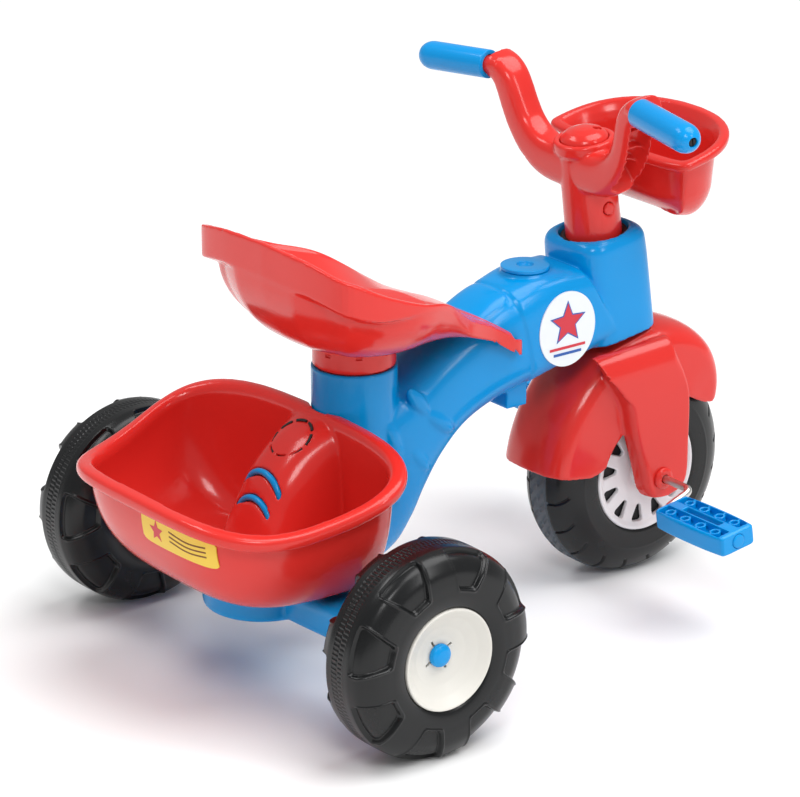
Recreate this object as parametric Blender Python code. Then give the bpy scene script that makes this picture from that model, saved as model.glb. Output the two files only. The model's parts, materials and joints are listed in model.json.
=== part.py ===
"""Children's tricycle in moulded plastic, as separate pieces on their joint axes.

+X is the rider's left, -Y is forward and +Z is up. Sizes are in millimetres and are
turned into metres when a mesh is made. Every piece is described in one bench frame,
whose zero is on the floor under the rear axle; the empty named tricycle then carries
that frame back, so that the finished part stands centred on its own origin.
"""

import math

import bmesh
import bpy
from mathutils import Matrix, Vector

MM = 0.001
GAP = 0.3

# Wheels
REAR_R = 100.0
HALF_TRACK = 231.7
WHEELBASE = 429.5
FRONT_R = 110.3
AXLE_R = 4.0
CRANK_R = 4.0
CRANK_BACK = 33.0
CRANK_DOWN = 12.0
CRANK_ARM_X = 104.0

# Steering axis: it leans back by RAKE and passes through STEER_POINT
RAKE = math.radians(8.2)
STEER_POINT = (0.0, -385.2, 371.0)
COLUMN_R = 28.0
STEM_R = 22.0
STEM_TOP = 60.0
STEM_JOINT = -22.0
HEAD_HALF_WIDTH = 42.0
HEAD_TOP = -8.0
HEAD_BOTTOM = -115.0

# Seat and its socket
SOCKET_Y = -95.0
SOCKET_R = 41.0
SOCKET_TOP = 286.0
SPIGOT_R = 36.0
SPIGOT_BOTTOM = 240.0

# Rear basket
BASKET_REAR_Y = 158.0
BASKET_FRONT_Y = -63.0
BASKET_FLOOR = 110.0
WALL = 4.0
HUMP_GAP = 1.8
HUMP_WIDEN = 8.0
CLIP_R = 3.2
CLIPS = {"basket_clip_upper": (10.5, 200), "basket_clip_lower": (21.0, 176.5)}

# Front basket
POD_BACK_Y = -406.0
POD_RIM_Z = 448.0
POD_TILT = 0.22
POD_FLOOR = 386.0
POD_HALF_WIDTH = 103.0
POD_DEPTH = 108.0

CENTRE_Y = (BASKET_REAR_Y - WHEELBASE - FRONT_R) / 2

REAR_LEFT = (HALF_TRACK, 0.0, REAR_R)
REAR_RIGHT = (-HALF_TRACK, 0.0, REAR_R)
FRONT = (0.0, -WHEELBASE, FRONT_R)
SPINDLE = {
    "left": (0.0, -WHEELBASE - CRANK_BACK, FRONT_R + CRANK_DOWN),
    "right": (0.0, -WHEELBASE + CRANK_BACK, FRONT_R - CRANK_DOWN),
}
SIDES = {"left": 1, "right": -1}
BUTTON_Z = 18.0

# The frame's spine, each station by its top and bottom (y, z), half width and squareness
SPINE = (
    ((-345, 336), (-390, 256), 41.5, 4.5),
    ((-300, 336), (-335, 245), 41.5, 4.0),
    ((-262, 328), (-286, 231), 41.0, 3.2),
    ((-232, 318), (-246, 220), 40.0, 3.0),
    ((-172, 285), (-209, 205), 40.0, 3.0),
    ((-135, 262), (-180, 180), 41.0, 3.0),
    ((-95, 250), (-160, 150), 42.0, 3.0),
    ((-68, 243), (-150, 122), 38.0, 2.8),
    ((-26, 223), (-136, 95), 31.0, 2.4),
    ((4, 197), (-100, 79), 30.0, 2.3),
    ((17, 172), (-60, 77), 30.0, 2.3),
    ((30, 143), (-10, 77), 30.0, 2.3),
    ((40, 108), (20, 77), 30.0, 2.3),
)
SPINE_SEAT = slice(0, 6)
SPINE_TAIL = slice(6, 13)

# The mudguard's crown about the front axle: degrees up from the rear, and its radius
HOOD = ((9, 129, 46), (20, 130, 46), (32, 132, 46), (44, 135, 46), (56, 139, 46), (68, 143.5, 46), (80, 147, 46),
        (92, 150, 46), (104, 152, 46), (114, 151.5, 45.5), (124, 147, 45), (132, 140, 43.5), (140, 130, 42),
        (147, 119, 40.5))
HOOD_DROP = 24.0


# ---------------------------------------------------------------- shape helpers


def spline(points, count):
    """Points spaced evenly along a smooth curve through the given ones."""
    pts = [Vector(p) for p in points]
    ends = [2 * pts[0] - pts[1]] + pts + [2 * pts[-1] - pts[-2]]
    fine = []
    for a, b, c, d in zip(ends, ends[1:], ends[2:], ends[3:]):
        for step in range(16):
            t = step / 16
            fine.append(
                0.5 * (2 * b + (c - a) * t + (2 * a - 5 * b + 4 * c - d) * t**2
                       + (3 * b - a - 3 * c + d) * t**3)
            )
    fine.append(pts[-1])
    lengths = [0.0]
    for a, b in zip(fine, fine[1:]):
        lengths.append(lengths[-1] + (b - a).length)
    out = []
    k = 0
    for i in range(count):
        want = lengths[-1] * i / (count - 1)
        while k < len(fine) - 2 and lengths[k + 1] < want:
            k += 1
        span = lengths[k + 1] - lengths[k] or 1.0
        out.append(fine[k].lerp(fine[k + 1], (want - lengths[k]) / span))
    return out


def power(value, exponent):
    return math.copysign(abs(value) ** exponent, value)


def superellipse(half_a, half_b, n, count):
    """(a, b) points round a rounded rectangle; n = 2 is an ellipse."""
    turns = [2 * math.pi * i / count for i in range(count)]
    return [(half_a * power(math.cos(t), 2 / n), half_b * power(math.sin(t), 2 / n)) for t in turns]


def arc(cx, cy, radius, start, end, count):
    """Points (a, b) on an arc, angles in degrees."""
    turns = [math.radians(start + (end - start) * i / (count - 1)) for i in range(count)]
    return [(cx + radius * math.cos(t), cy + radius * math.sin(t)) for t in turns]


def loft(rings):
    """A closed solid through rings of equal count, its first and last ring capped."""
    bm = bmesh.new()
    rows = [[bm.verts.new(p) for p in ring] for ring in rings]
    count = len(rows[0])
    for lower, upper in zip(rows, rows[1:]):
        for i in range(count):
            j = (i + 1) % count
            bm.faces.new((lower[i], lower[j], upper[j], upper[i]))
    bm.faces.new(rows[0][::-1])
    bm.faces.new(rows[-1])
    bmesh.ops.recalc_face_normals(bm, faces=bm.faces)
    return bm


def turned(profile, segments=32, closed=True):
    """A solid turned about Z from (radius, height) points; closed profiles make a ring."""
    bm = bmesh.new()
    rows = []
    for i in range(segments):
        t = 2 * math.pi * i / segments
        rows.append([(r * math.cos(t), r * math.sin(t), h) for r, h in profile])
    poles = {}
    grid = []
    for row in rows:
        line = []
        for k, p in enumerate(row):
            if profile[k][0] == 0:
                if k not in poles:
                    poles[k] = bm.verts.new(p)
                line.append(poles[k])
            else:
                line.append(bm.verts.new(p))
        grid.append(line)
    steps = len(profile) if closed else len(profile) - 1
    for i in range(segments):
        a, b = grid[i], grid[(i + 1) % segments]
        for k in range(steps):
            m = (k + 1) % len(profile)
            corners = []
            for v in (a[k], a[m], b[m], b[k]):
                if v not in corners:
                    corners.append(v)
            if len(corners) > 2:
                bm.faces.new(corners)
    bmesh.ops.recalc_face_normals(bm, faces=bm.faces)
    return bm


def rod(radius, low, high, segments=24):
    return turned([(0, low), (radius, low), (radius, high), (0, high)], segments, closed=False)


def prism(outline, x0, x1):
    """A (y, z) outline extruded along X."""
    return loft([[(x, y, z) for y, z in outline] for x in (x0, x1)])


def box(x0, x1, y0, y1, z0, z1):
    return prism([(y0, z0), (y1, z0), (y1, z1), (y0, z1)], x0, x1)


def tube(path, radius, sides=12):
    """A round bar swept along a path, with flat ends."""
    pts = [Vector(p) for p in path]
    tangents = []
    for i in range(len(pts)):
        a, b = pts[max(i - 1, 0)], pts[min(i + 1, len(pts) - 1)]
        tangents.append((b - a).normalized())
    side = tangents[0].orthogonal().normalized()
    rings = []
    for p, tangent in zip(pts, tangents):
        side = (side - tangent * side.dot(tangent)).normalized()
        other = tangent.cross(side)
        rings.append([
            p + radius * (math.cos(t) * side + math.sin(t) * other)
            for t in (2 * math.pi * k / sides for k in range(sides))
        ])
    return loft(rings)


def along_x(bm, x=0.0, y=0.0, z=0.0, flip=False):
    """Lays a solid made about Z along X; flip points its +Z end to -X."""
    turn = Matrix.Rotation(math.radians(-90 if flip else 90), 4, "Y")
    bmesh.ops.transform(bm, matrix=Matrix.Translation((x, y, z)) @ turn, verts=bm.verts)
    return bm


def moved(bm, matrix):
    bmesh.ops.transform(bm, matrix=matrix, verts=bm.verts)
    return bm


def mirrored(bm):
    """The same solid on the other side of the X = 0 plane."""
    bmesh.ops.scale(bm, vec=(-1, 1, 1), verts=bm.verts)
    bmesh.ops.reverse_faces(bm, faces=bm.faces)
    return bm


# ---------------------------------------------------------------- scene helpers

BODY_FRAMES = {
    "chassis": Matrix.Identity(4),
    "rear_wheel_left": Matrix.Translation(REAR_LEFT),
    "rear_wheel_right": Matrix.Translation(REAR_RIGHT),
    "steering": Matrix.Translation(STEER_POINT) @ Matrix.Rotation(-RAKE, 4, "X"),
    "front_wheel": Matrix.Translation(FRONT),
    "pedal_left": Matrix.Translation(SPINDLE["left"]),
    "pedal_right": Matrix.Translation(SPINDLE["right"]),
}
BODY_FRAMES["lock_button"] = BODY_FRAMES["steering"] @ Matrix.Translation((0, 0, BUTTON_Z))
BODY_PARENTS = {
    "chassis": None,
    "rear_wheel_left": "chassis",
    "rear_wheel_right": "chassis",
    "steering": "chassis",
    "front_wheel": "steering",
    "pedal_left": "front_wheel",
    "pedal_right": "front_wheel",
    "lock_button": "steering",
}
MANIFOLD_NODES = ("handlebar", "fork", "rear_basket")
EMPTIES = {}
MATERIALS = {}


def clear_scene():
    for obj in list(bpy.data.objects):
        bpy.data.objects.remove(obj)


def make_material(name, colour, roughness, metallic=0.0):
    made = bpy.data.materials.new(name)
    made.use_nodes = True
    shader = made.node_tree.nodes["Principled BSDF"]
    shader.inputs["Base Color"].default_value = (*colour, 1.0)
    shader.inputs["Roughness"].default_value = roughness
    shader.inputs["Metallic"].default_value = metallic
    MATERIALS[name] = made


def make_materials():
    make_material("red_plastic", (0.73, 0.04, 0.035), 0.28)
    make_material("blue_plastic", (0.0, 0.30, 0.68), 0.30)
    make_material("black_plastic", (0.032, 0.034, 0.036), 0.5)
    make_material("grey_tread", (0.13, 0.15, 0.17), 0.6)
    make_material("white_plastic", (0.72, 0.69, 0.66), 0.4)
    make_material("steel", (0.62, 0.62, 0.62), 0.3, 1.0)
    make_material("yellow_label", (0.85, 0.55, 0.06), 0.4)
    make_material("white_label", (0.85, 0.87, 0.88), 0.4)
    make_material("grey_plastic", (0.25, 0.26, 0.27), 0.5)


def make_empties():
    whole = bpy.data.objects.new("tricycle", None)
    bpy.context.collection.objects.link(whole)
    whole.location = (0.0, -CENTRE_Y * MM, 0.0)
    for body, frame in BODY_FRAMES.items():
        empty = bpy.data.objects.new(body + "_axis", None)
        bpy.context.collection.objects.link(empty)
        parent = BODY_PARENTS[body]
        if parent is None:
            empty.parent = whole
            local = frame.copy()
        else:
            empty.parent = EMPTIES[parent]
            local = BODY_FRAMES[parent].inverted() @ frame
        local.translation *= MM
        empty.matrix_basis = local
        EMPTIES[body] = empty


def place(name, bm, body, local=False):
    """An object on its body's empty. A solid given in the bench frame goes to the body's own."""
    if not local:
        moved(bm, BODY_FRAMES[body].inverted())
    moved(bm, Matrix.Scale(MM, 4))
    mesh = bpy.data.meshes.new(name)
    bm.to_mesh(mesh)
    bm.free()
    obj = bpy.data.objects.new(name, mesh)
    bpy.context.collection.objects.link(obj)
    obj.parent = EMPTIES[body]
    obj["body"] = body
    return obj


def piece(name, bm, body, material, local=False):
    obj = place(name, bm, body, local)
    obj.data.materials.append(MATERIALS[material])
    obj.data.shade_smooth()
    obj.data.set_sharp_from_angle(angle=math.radians(35))
    return obj


def combine(obj, bm, operation, local=False):
    """A Boolean with a hidden tool; every tool is a closed solid."""
    number = len(obj.modifiers)
    tool = place(f"tool_{obj.name}_{number}", bm, obj["body"], local)
    tool.hide_render = True
    tool.display_type = "WIRE"
    modifier = obj.modifiers.new(f"{operation.lower()}_{number}", "BOOLEAN")
    modifier.operation = operation
    modifier.solver = "MANIFOLD" if any(name in obj.name for name in MANIFOLD_NODES) else "EXACT"
    modifier.object = tool
    return tool


def cut(obj, bm, local=False):
    return combine(obj, bm, "DIFFERENCE", local)


def join(obj, bm, local=False):
    combine(obj, bm, "UNION", local)


def steering_frame(bm):
    """Takes a solid given about the raked steering axis to the bench frame."""
    return moved(bm, BODY_FRAMES["steering"])


# ---------------------------------------------------------------- frame


def frame_section(top, bottom, half_width, n, grow, widen):
    """One cross-section of the frame between a top and a bottom point (y, z)."""
    top, bottom = Vector(top), Vector(bottom)
    middle, half = (top + bottom) / 2, (top - bottom) / 2
    half *= 1 + grow / half.length
    return [(x, middle.x + half.x * s, middle.y + half.y * s)
            for x, s in superellipse(half_width + grow + widen, 1.0, n, 20)]


def frame_spine(grow=0.0, stations=slice(None), widen=0.0):
    """The swept body from the head, under the seat and down to the axle, grown all round."""
    return loft([frame_section(*station, grow, widen) for station in SPINE[stations]])


def head_block():
    """The upright block that the steering column passes through."""
    rings = []
    for height, half_length, shift in ((HEAD_BOTTOM, 42, -1), (-60, 42, 0), (-14, 40, 0), (HEAD_TOP, 36, 0)):
        half_width = HEAD_HALF_WIDTH - (3 if height == HEAD_TOP else 0)
        rings.append([(x, y + shift, height) for x, y in superellipse(half_width, half_length, 4, 24)])
    return steering_frame(loft(rings))


def axle_beam():
    """The cross beam on the rear axle, a little lower under the deck than at its ends."""
    rings = []
    for x, low, high, depth in ((-190, 72, 112, 24), (-150, 72, 112, 25), (-60, 71, 106, 28),
                                (60, 71, 106, 28), (150, 72, 112, 25), (190, 72, 112, 24)):
        middle, half = (low + high) / 2, (high - low) / 2
        rings.append([(x, y, middle + z) for y, z in superellipse(depth, half, 4, 16)])
    return loft(rings)


def clip_path(y, apex, extra):
    """A staple's arch across the tub's hump, its legs leaning in; extra lengthens the legs."""
    arch = []
    for i in range(9):
        t = math.radians(-80 + 20 * i)
        arch.append((26 * math.sin(t), y, apex - 24 * (1 - math.cos(t))))
    foot = 17 - extra * 0.15
    return [(-foot, y, apex - 58 - extra)] + arch + [(foot, y, apex - 58 - extra)]


def clip_solid(name, extra, grow):
    y, apex = CLIPS[name]
    return tube(clip_path(y, apex, extra), CLIP_R + grow, 6)


def make_frame():
    frame = piece("frame", frame_spine(), "chassis", "blue_plastic")
    join(frame, head_block())
    join(frame, moved(rod(SOCKET_R, 180, SOCKET_TOP, 24), Matrix.Translation((0, SOCKET_Y, 0))))
    deck = turned([(0, 72), (52, 72), (57, 78), (57, BASKET_FLOOR - GAP), (0, BASKET_FLOOR - GAP)], 24, closed=False)
    join(frame, moved(deck, Matrix.Translation((0, 13, 0))))
    join(frame, axle_beam())
    join(frame, plug_solid(23.5, 320, 338.2))
    join(frame, box(-26, 26, -288, -257, 206, 240))
    cut(frame, box(-20, 20, -283, -262, 200, 222))
    cut(frame, moved(rod(SPIGOT_R + GAP, 236, 300, 36), Matrix.Translation((0, SOCKET_Y, 0))))
    cut(frame, steering_frame(rod(33.0, HEAD_BOTTOM - 20, HEAD_TOP + 20, 28)))
    cut(frame, along_x(rod(AXLE_R + GAP, -200, 200, 12), 0, 0, REAR_R))
    for side in SIDES.values():
        cut(frame, badge_solid(side, 41.2, 50, GAP))
    cut(frame, plug_solid(19.0 + GAP, 325, 360))
    for name in CLIPS:
        cut(frame, clip_solid(name, 2, 0.6))
    return frame


def plug_solid(radius, low, high):
    return moved(rod(radius, low, high, 24), Matrix.Translation((0, -301, 0)))


def badge_solid(side, x0, x1, grow):
    outline = [(-319 + y, 284 + z) for y, z in superellipse(34.5 + grow, 37.5 + grow, 2.0, 24)]
    return prism(outline, *sorted((side * x0, side * x1)))


def make_frame_fittings():
    profile = [(0, 326), (19, 326), (19, 338.6), (24, 338.6), (24, 341), (22.5, 342.5), (9, 342.5), (7, 340), (0, 340)]
    plug = moved(turned(profile, 24, closed=False), Matrix.Translation((0, -301, 0)))
    piece("frame_top_plug", plug, "chassis", "blue_plastic")
    for name, side in SIDES.items():
        piece(f"side_badge_{name}", badge_solid(side, 41.5, 42.6, 0), "chassis", "white_label")
    for name in CLIPS:
        piece(name, clip_solid(name, 0, 0), "chassis", "blue_plastic")
    axle = rod(AXLE_R, -HALF_TRACK - 22, HALF_TRACK + 22, 12)
    piece("rear_axle", along_x(axle, 0, 0, REAR_R), "chassis", "steel")
    for name, low, high in (("head_bush_upper", -21.5, HEAD_TOP), ("head_bush_lower", HEAD_BOTTOM, -90)):
        ring = turned([(COLUMN_R + GAP, low), (32.7, low), (32.7, high), (COLUMN_R + GAP, high)], 24)
        piece(name, steering_frame(ring), "chassis", "grey_plastic")


# ---------------------------------------------------------------- seat


def seat_rim(count):
    """The flange's upper edge, nose first, round the rider's right and back."""
    half = spline(
        [(0, -262, 285), (30, -262, 285), (43, -259, 286.5), (47.5, -250, 291), (47, -220, 312), (67, -180, 329),
         (101, -130, 362), (119.5, -85, 378), (124, -40, 396), (119, -12, 407), (106, 2, 412), (65, 8, 415.5),
         (0, 10, 416)],
        count // 2 + 1,
    )
    right = [Vector((-p.x, p.y, p.z)) for p in half]
    return right[:-1] + half[:0:-1]


def make_seat():
    """A dished saddle whose front edge is notched by the frame, so that two wings hug its sides."""
    count = 36
    rim = seat_rim(count)
    centre = Vector((0, -105, 345))
    socket = Vector((0, SOCKET_Y, 0))

    def dish(k):
        fall = 1 - (1 - k) ** 2
        return [Vector((*(p.lerp(centre, k)).xy, p.z + (centre.z - p.z) * fall)) for p in rim]

    def flange_height(p):
        return 6 + 25 * min(1.0, max(0.0, p.y + 85) / 70)

    def ledge(p):
        return 0.2 * min(1.0, max(0.0, p.y + 80) / 60)

    def under(inset, drop):
        ring = []
        for p in rim:
            flat = Vector((p.x, p.y, 0)) - socket
            hub = socket + flat.normalized() * 39.6
            start = p.z - flange_height(p)
            xy = p.lerp(hub, ledge(p) + (1 - ledge(p)) * inset)
            ring.append(Vector((xy.x, xy.y, start + (312 - start) * drop)))
        return ring

    def disc(radius, z):
        return [Vector((0, SOCKET_Y, z)) + radius * (Vector((p.x, p.y, 0)) - socket).normalized() for p in rim]

    rings = [dish(k) for k in (0.92, 0.7, 0.45, 0.25, 0.1, 0.03)]
    rings.append([Vector((p.x, p.y, p.z)) for p in rim])
    rings.append([Vector((p.x, p.y, p.z - flange_height(p))) for p in rim])
    rings += [under(0.03, 0.04), under(0.1, 0.28), under(0.3, 0.64), under(0.6, 0.9)]
    rings += [disc(39.6, 313), disc(39.6, SOCKET_TOP + GAP), disc(SPIGOT_R, SOCKET_TOP + GAP)]
    rings.append(disc(SPIGOT_R, SPIGOT_BOTTOM))
    seat = piece("seat", loft(rings), "chassis", "red_plastic")
    cut(seat, frame_spine(0.6, SPINE_SEAT))


# ---------------------------------------------------------------- rear basket


def basket_outline(inset, z_shift, count=32):
    """The rim of the rear basket: wider in front, higher in front, flat at the back."""
    middle = (BASKET_REAR_Y + BASKET_FRONT_Y) / 2
    half = (BASKET_REAR_Y - BASKET_FRONT_Y) / 2
    ring = []
    for i in range(count):
        t = 2 * math.pi * i / count
        n = 3.9 if math.sin(t) >= 0 else 3.1
        a, s = power(math.cos(t), 2 / n), power(math.sin(t), 2 / n)
        width = 166.8 - 29.1 * s
        u = (s + 1) / 2
        ease = u * u * (3 - 2 * u)
        z = 247.6 - 36.6 * ease - 71.6 * u * (1 - u)
        ring.append(Vector((a * (width - inset), middle + s * (half - inset), z + z_shift)))
    return ring


def basket_ring(k, inset, lift=0.0, count=32):
    """A ring of the tub's wall; k runs from 0 under the rim to 1 at the floor's edge."""
    top = basket_outline(12 + inset, -14, count)
    floor = [Vector((x, 18 + y, BASKET_FLOOR + lift)) for x, y in superellipse(92 - inset, 68 - inset, 3.2, count)]
    angle = k * math.pi / 2
    across, down = 1 - math.cos(angle), math.sin(angle)
    ring = []
    for a, b in zip(top, floor):
        ring.append(Vector((a.x + (b.x - a.x) * across, a.y + (b.y - a.y) * across, a.z + (b.z - a.z) * down)))
    return ring


def make_rear_basket():
    skin = [basket_ring(k, 0) for k in (1.0, 0.8, 0.55, 0.3, 0.0)]
    skin += [basket_outline(inset, z) for inset, z in ((9, -14), (1, -12), (0, -5), (3, -1), (8, 0))]
    basket = piece("rear_basket", loft(skin), "chassis", "red_plastic")
    inside = [basket_ring(k, WALL, WALL) for k in (1.0, 0.8, 0.55, 0.3, 0.0)]
    inside += [basket_outline(inset, z) for inset, z in ((16, -8), (14, -2), (13, 8))]
    hollow = cut(basket, loft(inside))
    cut(hollow, frame_spine(HUMP_GAP + WALL, SPINE_TAIL, HUMP_WIDEN))
    cut(basket, frame_spine(HUMP_GAP, SPINE_TAIL))
    cut(basket, moved(rod(SOCKET_R + 1, 150, 300, 32), Matrix.Translation((0, SOCKET_Y, 0))))
    for name in CLIPS:
        cut(basket, clip_solid(name, 2, 0.6))
    piece("rear_label", label_plate(), "chassis", "yellow_label")


def label_plate():
    """The sticker on the tub's rear wall, a thin bent plate following the wall."""
    rings = []
    for i in range(19):
        a = 51 * math.sin(math.radians(10 * (i - 9)))
        half = max(9.0, 14.5 * (1 - abs(a / 51) ** 5) ** 0.2)
        heights = [half * k / 2 for k in (-2, -1, 0, 1, 2)]
        rings.append([label_point(a, b, 0.5) for b in heights] + [label_point(a, b, 1.3) for b in heights[::-1]])
    return loft(rings)


def label_point(a, b, offset):
    """A point a across and b up the sticker, offset out from the tub's rear wall."""
    k = max(0.005, 0.12 - 0.0078 * b)
    ring = basket_ring(k, -offset, 0)
    behind = [p for p in ring if p.y > 60]
    behind.sort(key=lambda p: p.x)
    x = a - 50
    for p, q in zip(behind, behind[1:]):
        if p.x <= x <= q.x:
            return p.lerp(q, (x - p.x) / (q.x - p.x))
    return behind[-1]


# ---------------------------------------------------------------- rear wheels


def make_rear_wheels():
    half = [(100, 0), (99.4, 17), (95, 26), (84, 33.5), (62, 36)]
    tyre = [(14.2, -20), (30, -22), (44, -30)] + [(r, -h) for r, h in half[:0:-1]] + half
    tyre += [(50, 36), (49, 34), (49, 13), (14.2, 13)]
    disc = [(8.8, 13.3), (44, 13.3), (48.6, 20), (48.6, 37), (47.4, 38.3), (45.4, 37.4), (19.5, 19), (8.8, 18.4)]
    cap = [(0, 23.5), (6.6, 23.5), (6.6, 14), (8.4, 14), (8.4, 19), (11, 19), (11, 22), (9.6, 24.4), (5.5, 26), (0, 26.4)]
    bush = [(AXLE_R + GAP, -26), (18, -26), (18, -22.8), (13.9, -22.8), (13.9, 12.6), (AXLE_R + GAP, 12.6)]
    nut = [(AXLE_R + GAP, 15), (6.2, 15), (6.2, 16.5), (AXLE_R + GAP, 16.5)]
    for name, side in SIDES.items():
        body = f"rear_wheel_{name}"
        flip = side < 0
        piece(f"rear_tyre_{name}", along_x(turned(tyre, 24), flip=flip), body, "black_plastic", local=True)
        piece(f"rear_disc_{name}", along_x(turned(disc, 20), flip=flip), body, "white_plastic", local=True)
        piece(f"rear_cap_{name}", along_x(turned(cap, 12, closed=False), flip=flip), body, "blue_plastic", local=True)
        piece(f"rear_bush_{name}", along_x(turned(bush, 12), flip=flip), body, "grey_plastic", local=True)
        centre = side * HALF_TRACK
        piece(f"axle_nut_{name}", along_x(turned(nut, 12), centre, 0, REAR_R, flip), "chassis", "steel")


# ---------------------------------------------------------------- front wheel and pedals


def rounded(corners, radius, steps=5):
    """A path through corners with each inner corner turned on a radius."""
    pts = [Vector(c) for c in corners]
    out = [pts[0]]
    for before, corner, after in zip(pts, pts[1:], pts[2:]):
        a = corner + (before - corner).normalized() * radius
        b = corner + (after - corner).normalized() * radius
        for i in range(steps + 1):
            t = i / steps
            out.append(a.lerp(corner, t).lerp(corner.lerp(b, t), t))
    out.append(pts[-1])
    return out


def rim_windows(side):
    """Twelve rounded triangular windows, base outwards, through one rim."""
    bm = bmesh.new()
    outline = [(36, -2), (51, -6.6), (53, -5), (53, 5), (51, 6.6), (36, 2)]
    for k in range(12):
        t = math.radians(8.8 + 30 * k)
        ring = [(math.cos(t) * r - math.sin(t) * w, math.sin(t) * r + math.cos(t) * w) for r, w in outline]
        rows = [[bm.verts.new((side * x, y, z)) for y, z in ring] for x in (22, 44)]
        for i in range(len(ring)):
            j = (i + 1) % len(ring)
            bm.faces.new((rows[0][i], rows[0][j], rows[1][j], rows[1][i]))
        bm.faces.new(rows[0][::-1])
        bm.faces.new(rows[1])
    bmesh.ops.recalc_face_normals(bm, faces=bm.faces)
    return bm


def make_front_wheel():
    half = [(FRONT_R, 0), (110, 12), (104, 22.5), (94, 32), (82, 36.6), (64, 37), (61.8, 36), (61.8, 28.3),
            (57.8, 28.3)]
    tyre = [(r, -h) for r, h in half[:0:-1]] + half
    piece("front_tyre", along_x(turned(tyre, 24)), "front_wheel", "black_plastic", local=True)
    bore = CRANK_R + GAP
    rim = [(bore, 0.2), (14, 0.2), (14, 28.6), (54.6, 28.6), (54.6, 0.2), (57.5, 0.2), (57.5, 28.6), (61.4, 28.6),
           (61.4, 36.2), (59, 37.2), (54.5, 34), (18, 34), (14, 41), (bore, 41)]
    for name, side in SIDES.items():
        obj = piece(f"front_rim_{name}", along_x(turned(rim, 24), flip=side < 0), "front_wheel", "white_plastic", local=True)
        cut(obj, rim_windows(side), local=True)
    back, down, arm, end = CRANK_BACK, CRANK_DOWN, CRANK_ARM_X, 208
    corners = [(-end, back, -down), (-arm, back, -down), (-arm, 0, 0), (arm, 0, 0), (arm, -back, down), (end, -back, down)]
    piece("crank", tube(rounded(corners, 7, 3), CRANK_R, 8), "front_wheel", "steel", local=True)
    nut = [(CRANK_R + GAP, 203.5), (6.8, 203.5), (6.8, 205), (CRANK_R + GAP, 205)]
    for name, side in SIDES.items():
        _, y, z = SPINDLE[name]
        piece(f"pedal_nut_{name}", along_x(turned(nut, 12), 0, y, z, side < 0), "front_wheel", "steel")


def make_pedals():
    tilt = Matrix.Rotation(math.radians(-8), 4, "X")
    for name, side in SIDES.items():
        body = f"pedal_{name}"
        rings = []
        for x, half in ((112, 20.5), (114, 21.3), (138, 22.6), (161, 23), (184, 22.6), (208, 21.3), (210, 20.5)):
            flat = 9.7 if x in (112, 210) else 10.7
            rings.append([(side * x, y, z) for y, z in superellipse(half, flat, 7, 20)])
        pedal = piece(f"pedal_{name}", moved(loft(rings), tilt), body, "blue_plastic", local=True)
        cut(pedal, along_x(rod(CRANK_R + GAP, 100, 220, 12), flip=side < 0), local=True)
        cut(pedal, along_x(rod(7.3, 202.5, 220, 12), flip=side < 0), local=True)
        for low, high in ((-18.5, -7), (7, 18.5)):
            window = box(*sorted((side * 119, side * 199)), low, high, -20, 20)
            cut(pedal, moved(window, tilt), local=True)
        cap = along_x(turned([(0, 208.5), (7, 208.5), (7, 210.2), (5.5, 211), (0, 211)], 12, closed=False), flip=side < 0)
        piece(f"pedal_cap_{name}", cap, body, "blue_plastic", local=True)


# ---------------------------------------------------------------- fork


def hood(inset, first=0.0, last=0.0):
    """The mudguard's solid round the front axle; first and last lengthen its two ends, in degrees."""
    across = [math.cos(math.pi * i / 12) for i in range(13)]
    arch = [(s, HOOD_DROP * (1 - (1 - abs(s) ** 2.4) ** (1 / 2.4))) for s in across]
    rings = []
    for i, (angle, radius, half_width) in enumerate(HOOD):
        half_width -= inset
        angle += (last if i == len(HOOD) - 1 else 0) - (first if i == 0 else 0)
        out = Vector((0, math.cos(math.radians(angle)), math.sin(math.radians(angle))))
        spots = [(half_width * s, radius - inset - drop) for s, drop in arch]
        spots += [(-half_width, 62 - 2 * inset), (half_width, 62 - 2 * inset)]
        rings.append([Vector(FRONT) + Vector((x, 0, 0)) + out * r for x, r in spots])
    return loft(rings)


def skirt_cutter():
    """Everything under the mudguard's lower edge, from its front lip to its rear lip."""
    edge = [(-600, 166), (-532, 168), (-505, 167), (-466, 184), (-440, 178), (-410, 174), (-399, 162), (-386, 146),
            (-374, 132), (-361, 125), (-340, 122), (-310, 122), (-240, 124)]
    return prism(edge + [(-240, 20), (-600, 20)], -80, 80)


def blade_outline():
    """One fork blade seen from the side (y, z), from the crown down to the axle's eye."""
    rear = [(-360, 240), (-374, 216), (-388, 192), (-394, 165), (-406, 126), (-413, 101), (-420, 90)]
    front = [(-440, 89), (-456, 95), (-463, 108), (-464, 188), (-457, 222), (-440, 250)]
    return rear + front


def make_fork():
    fork = piece("fork", hood(0), "steering", "red_plastic")
    cut(fork, hood(WALL, 4, 4))
    cut(fork, skirt_cutter())
    for side in SIDES.values():
        join(fork, loft([[(side * x, y, z) for y, z in blade_outline()] for x in (42.5, 62)]))
    join(fork, prism([(-372, 236), (-440, 240), (-438, 259), (-372, 247)], -43, 43))
    stem = rod(COLUMN_R, -128, STEM_JOINT, 28)
    join(fork, stem, local=True)
    join(fork, rod(STEM_R, STEM_JOINT - 10, STEM_TOP, 28), local=True)
    cut(fork, along_x(rod(CRANK_R + GAP, -80, 80, 16), 0, -WHEELBASE, FRONT_R))
    cut(fork, along_x(rod(6 + GAP, -40, -10, 16), 0, 0, BUTTON_Z), local=True)
    for name, side in SIDES.items():
        ring = turned([(CRANK_R + GAP, 62.3), (11, 62.3), (11, 65), (9, 66.2), (CRANK_R + GAP, 66.2)], 16)
        piece(f"axle_collar_{name}", along_x(ring, 0, -WHEELBASE, FRONT_R, side < 0), "steering", "red_plastic")


# ---------------------------------------------------------------- handlebar


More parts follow.
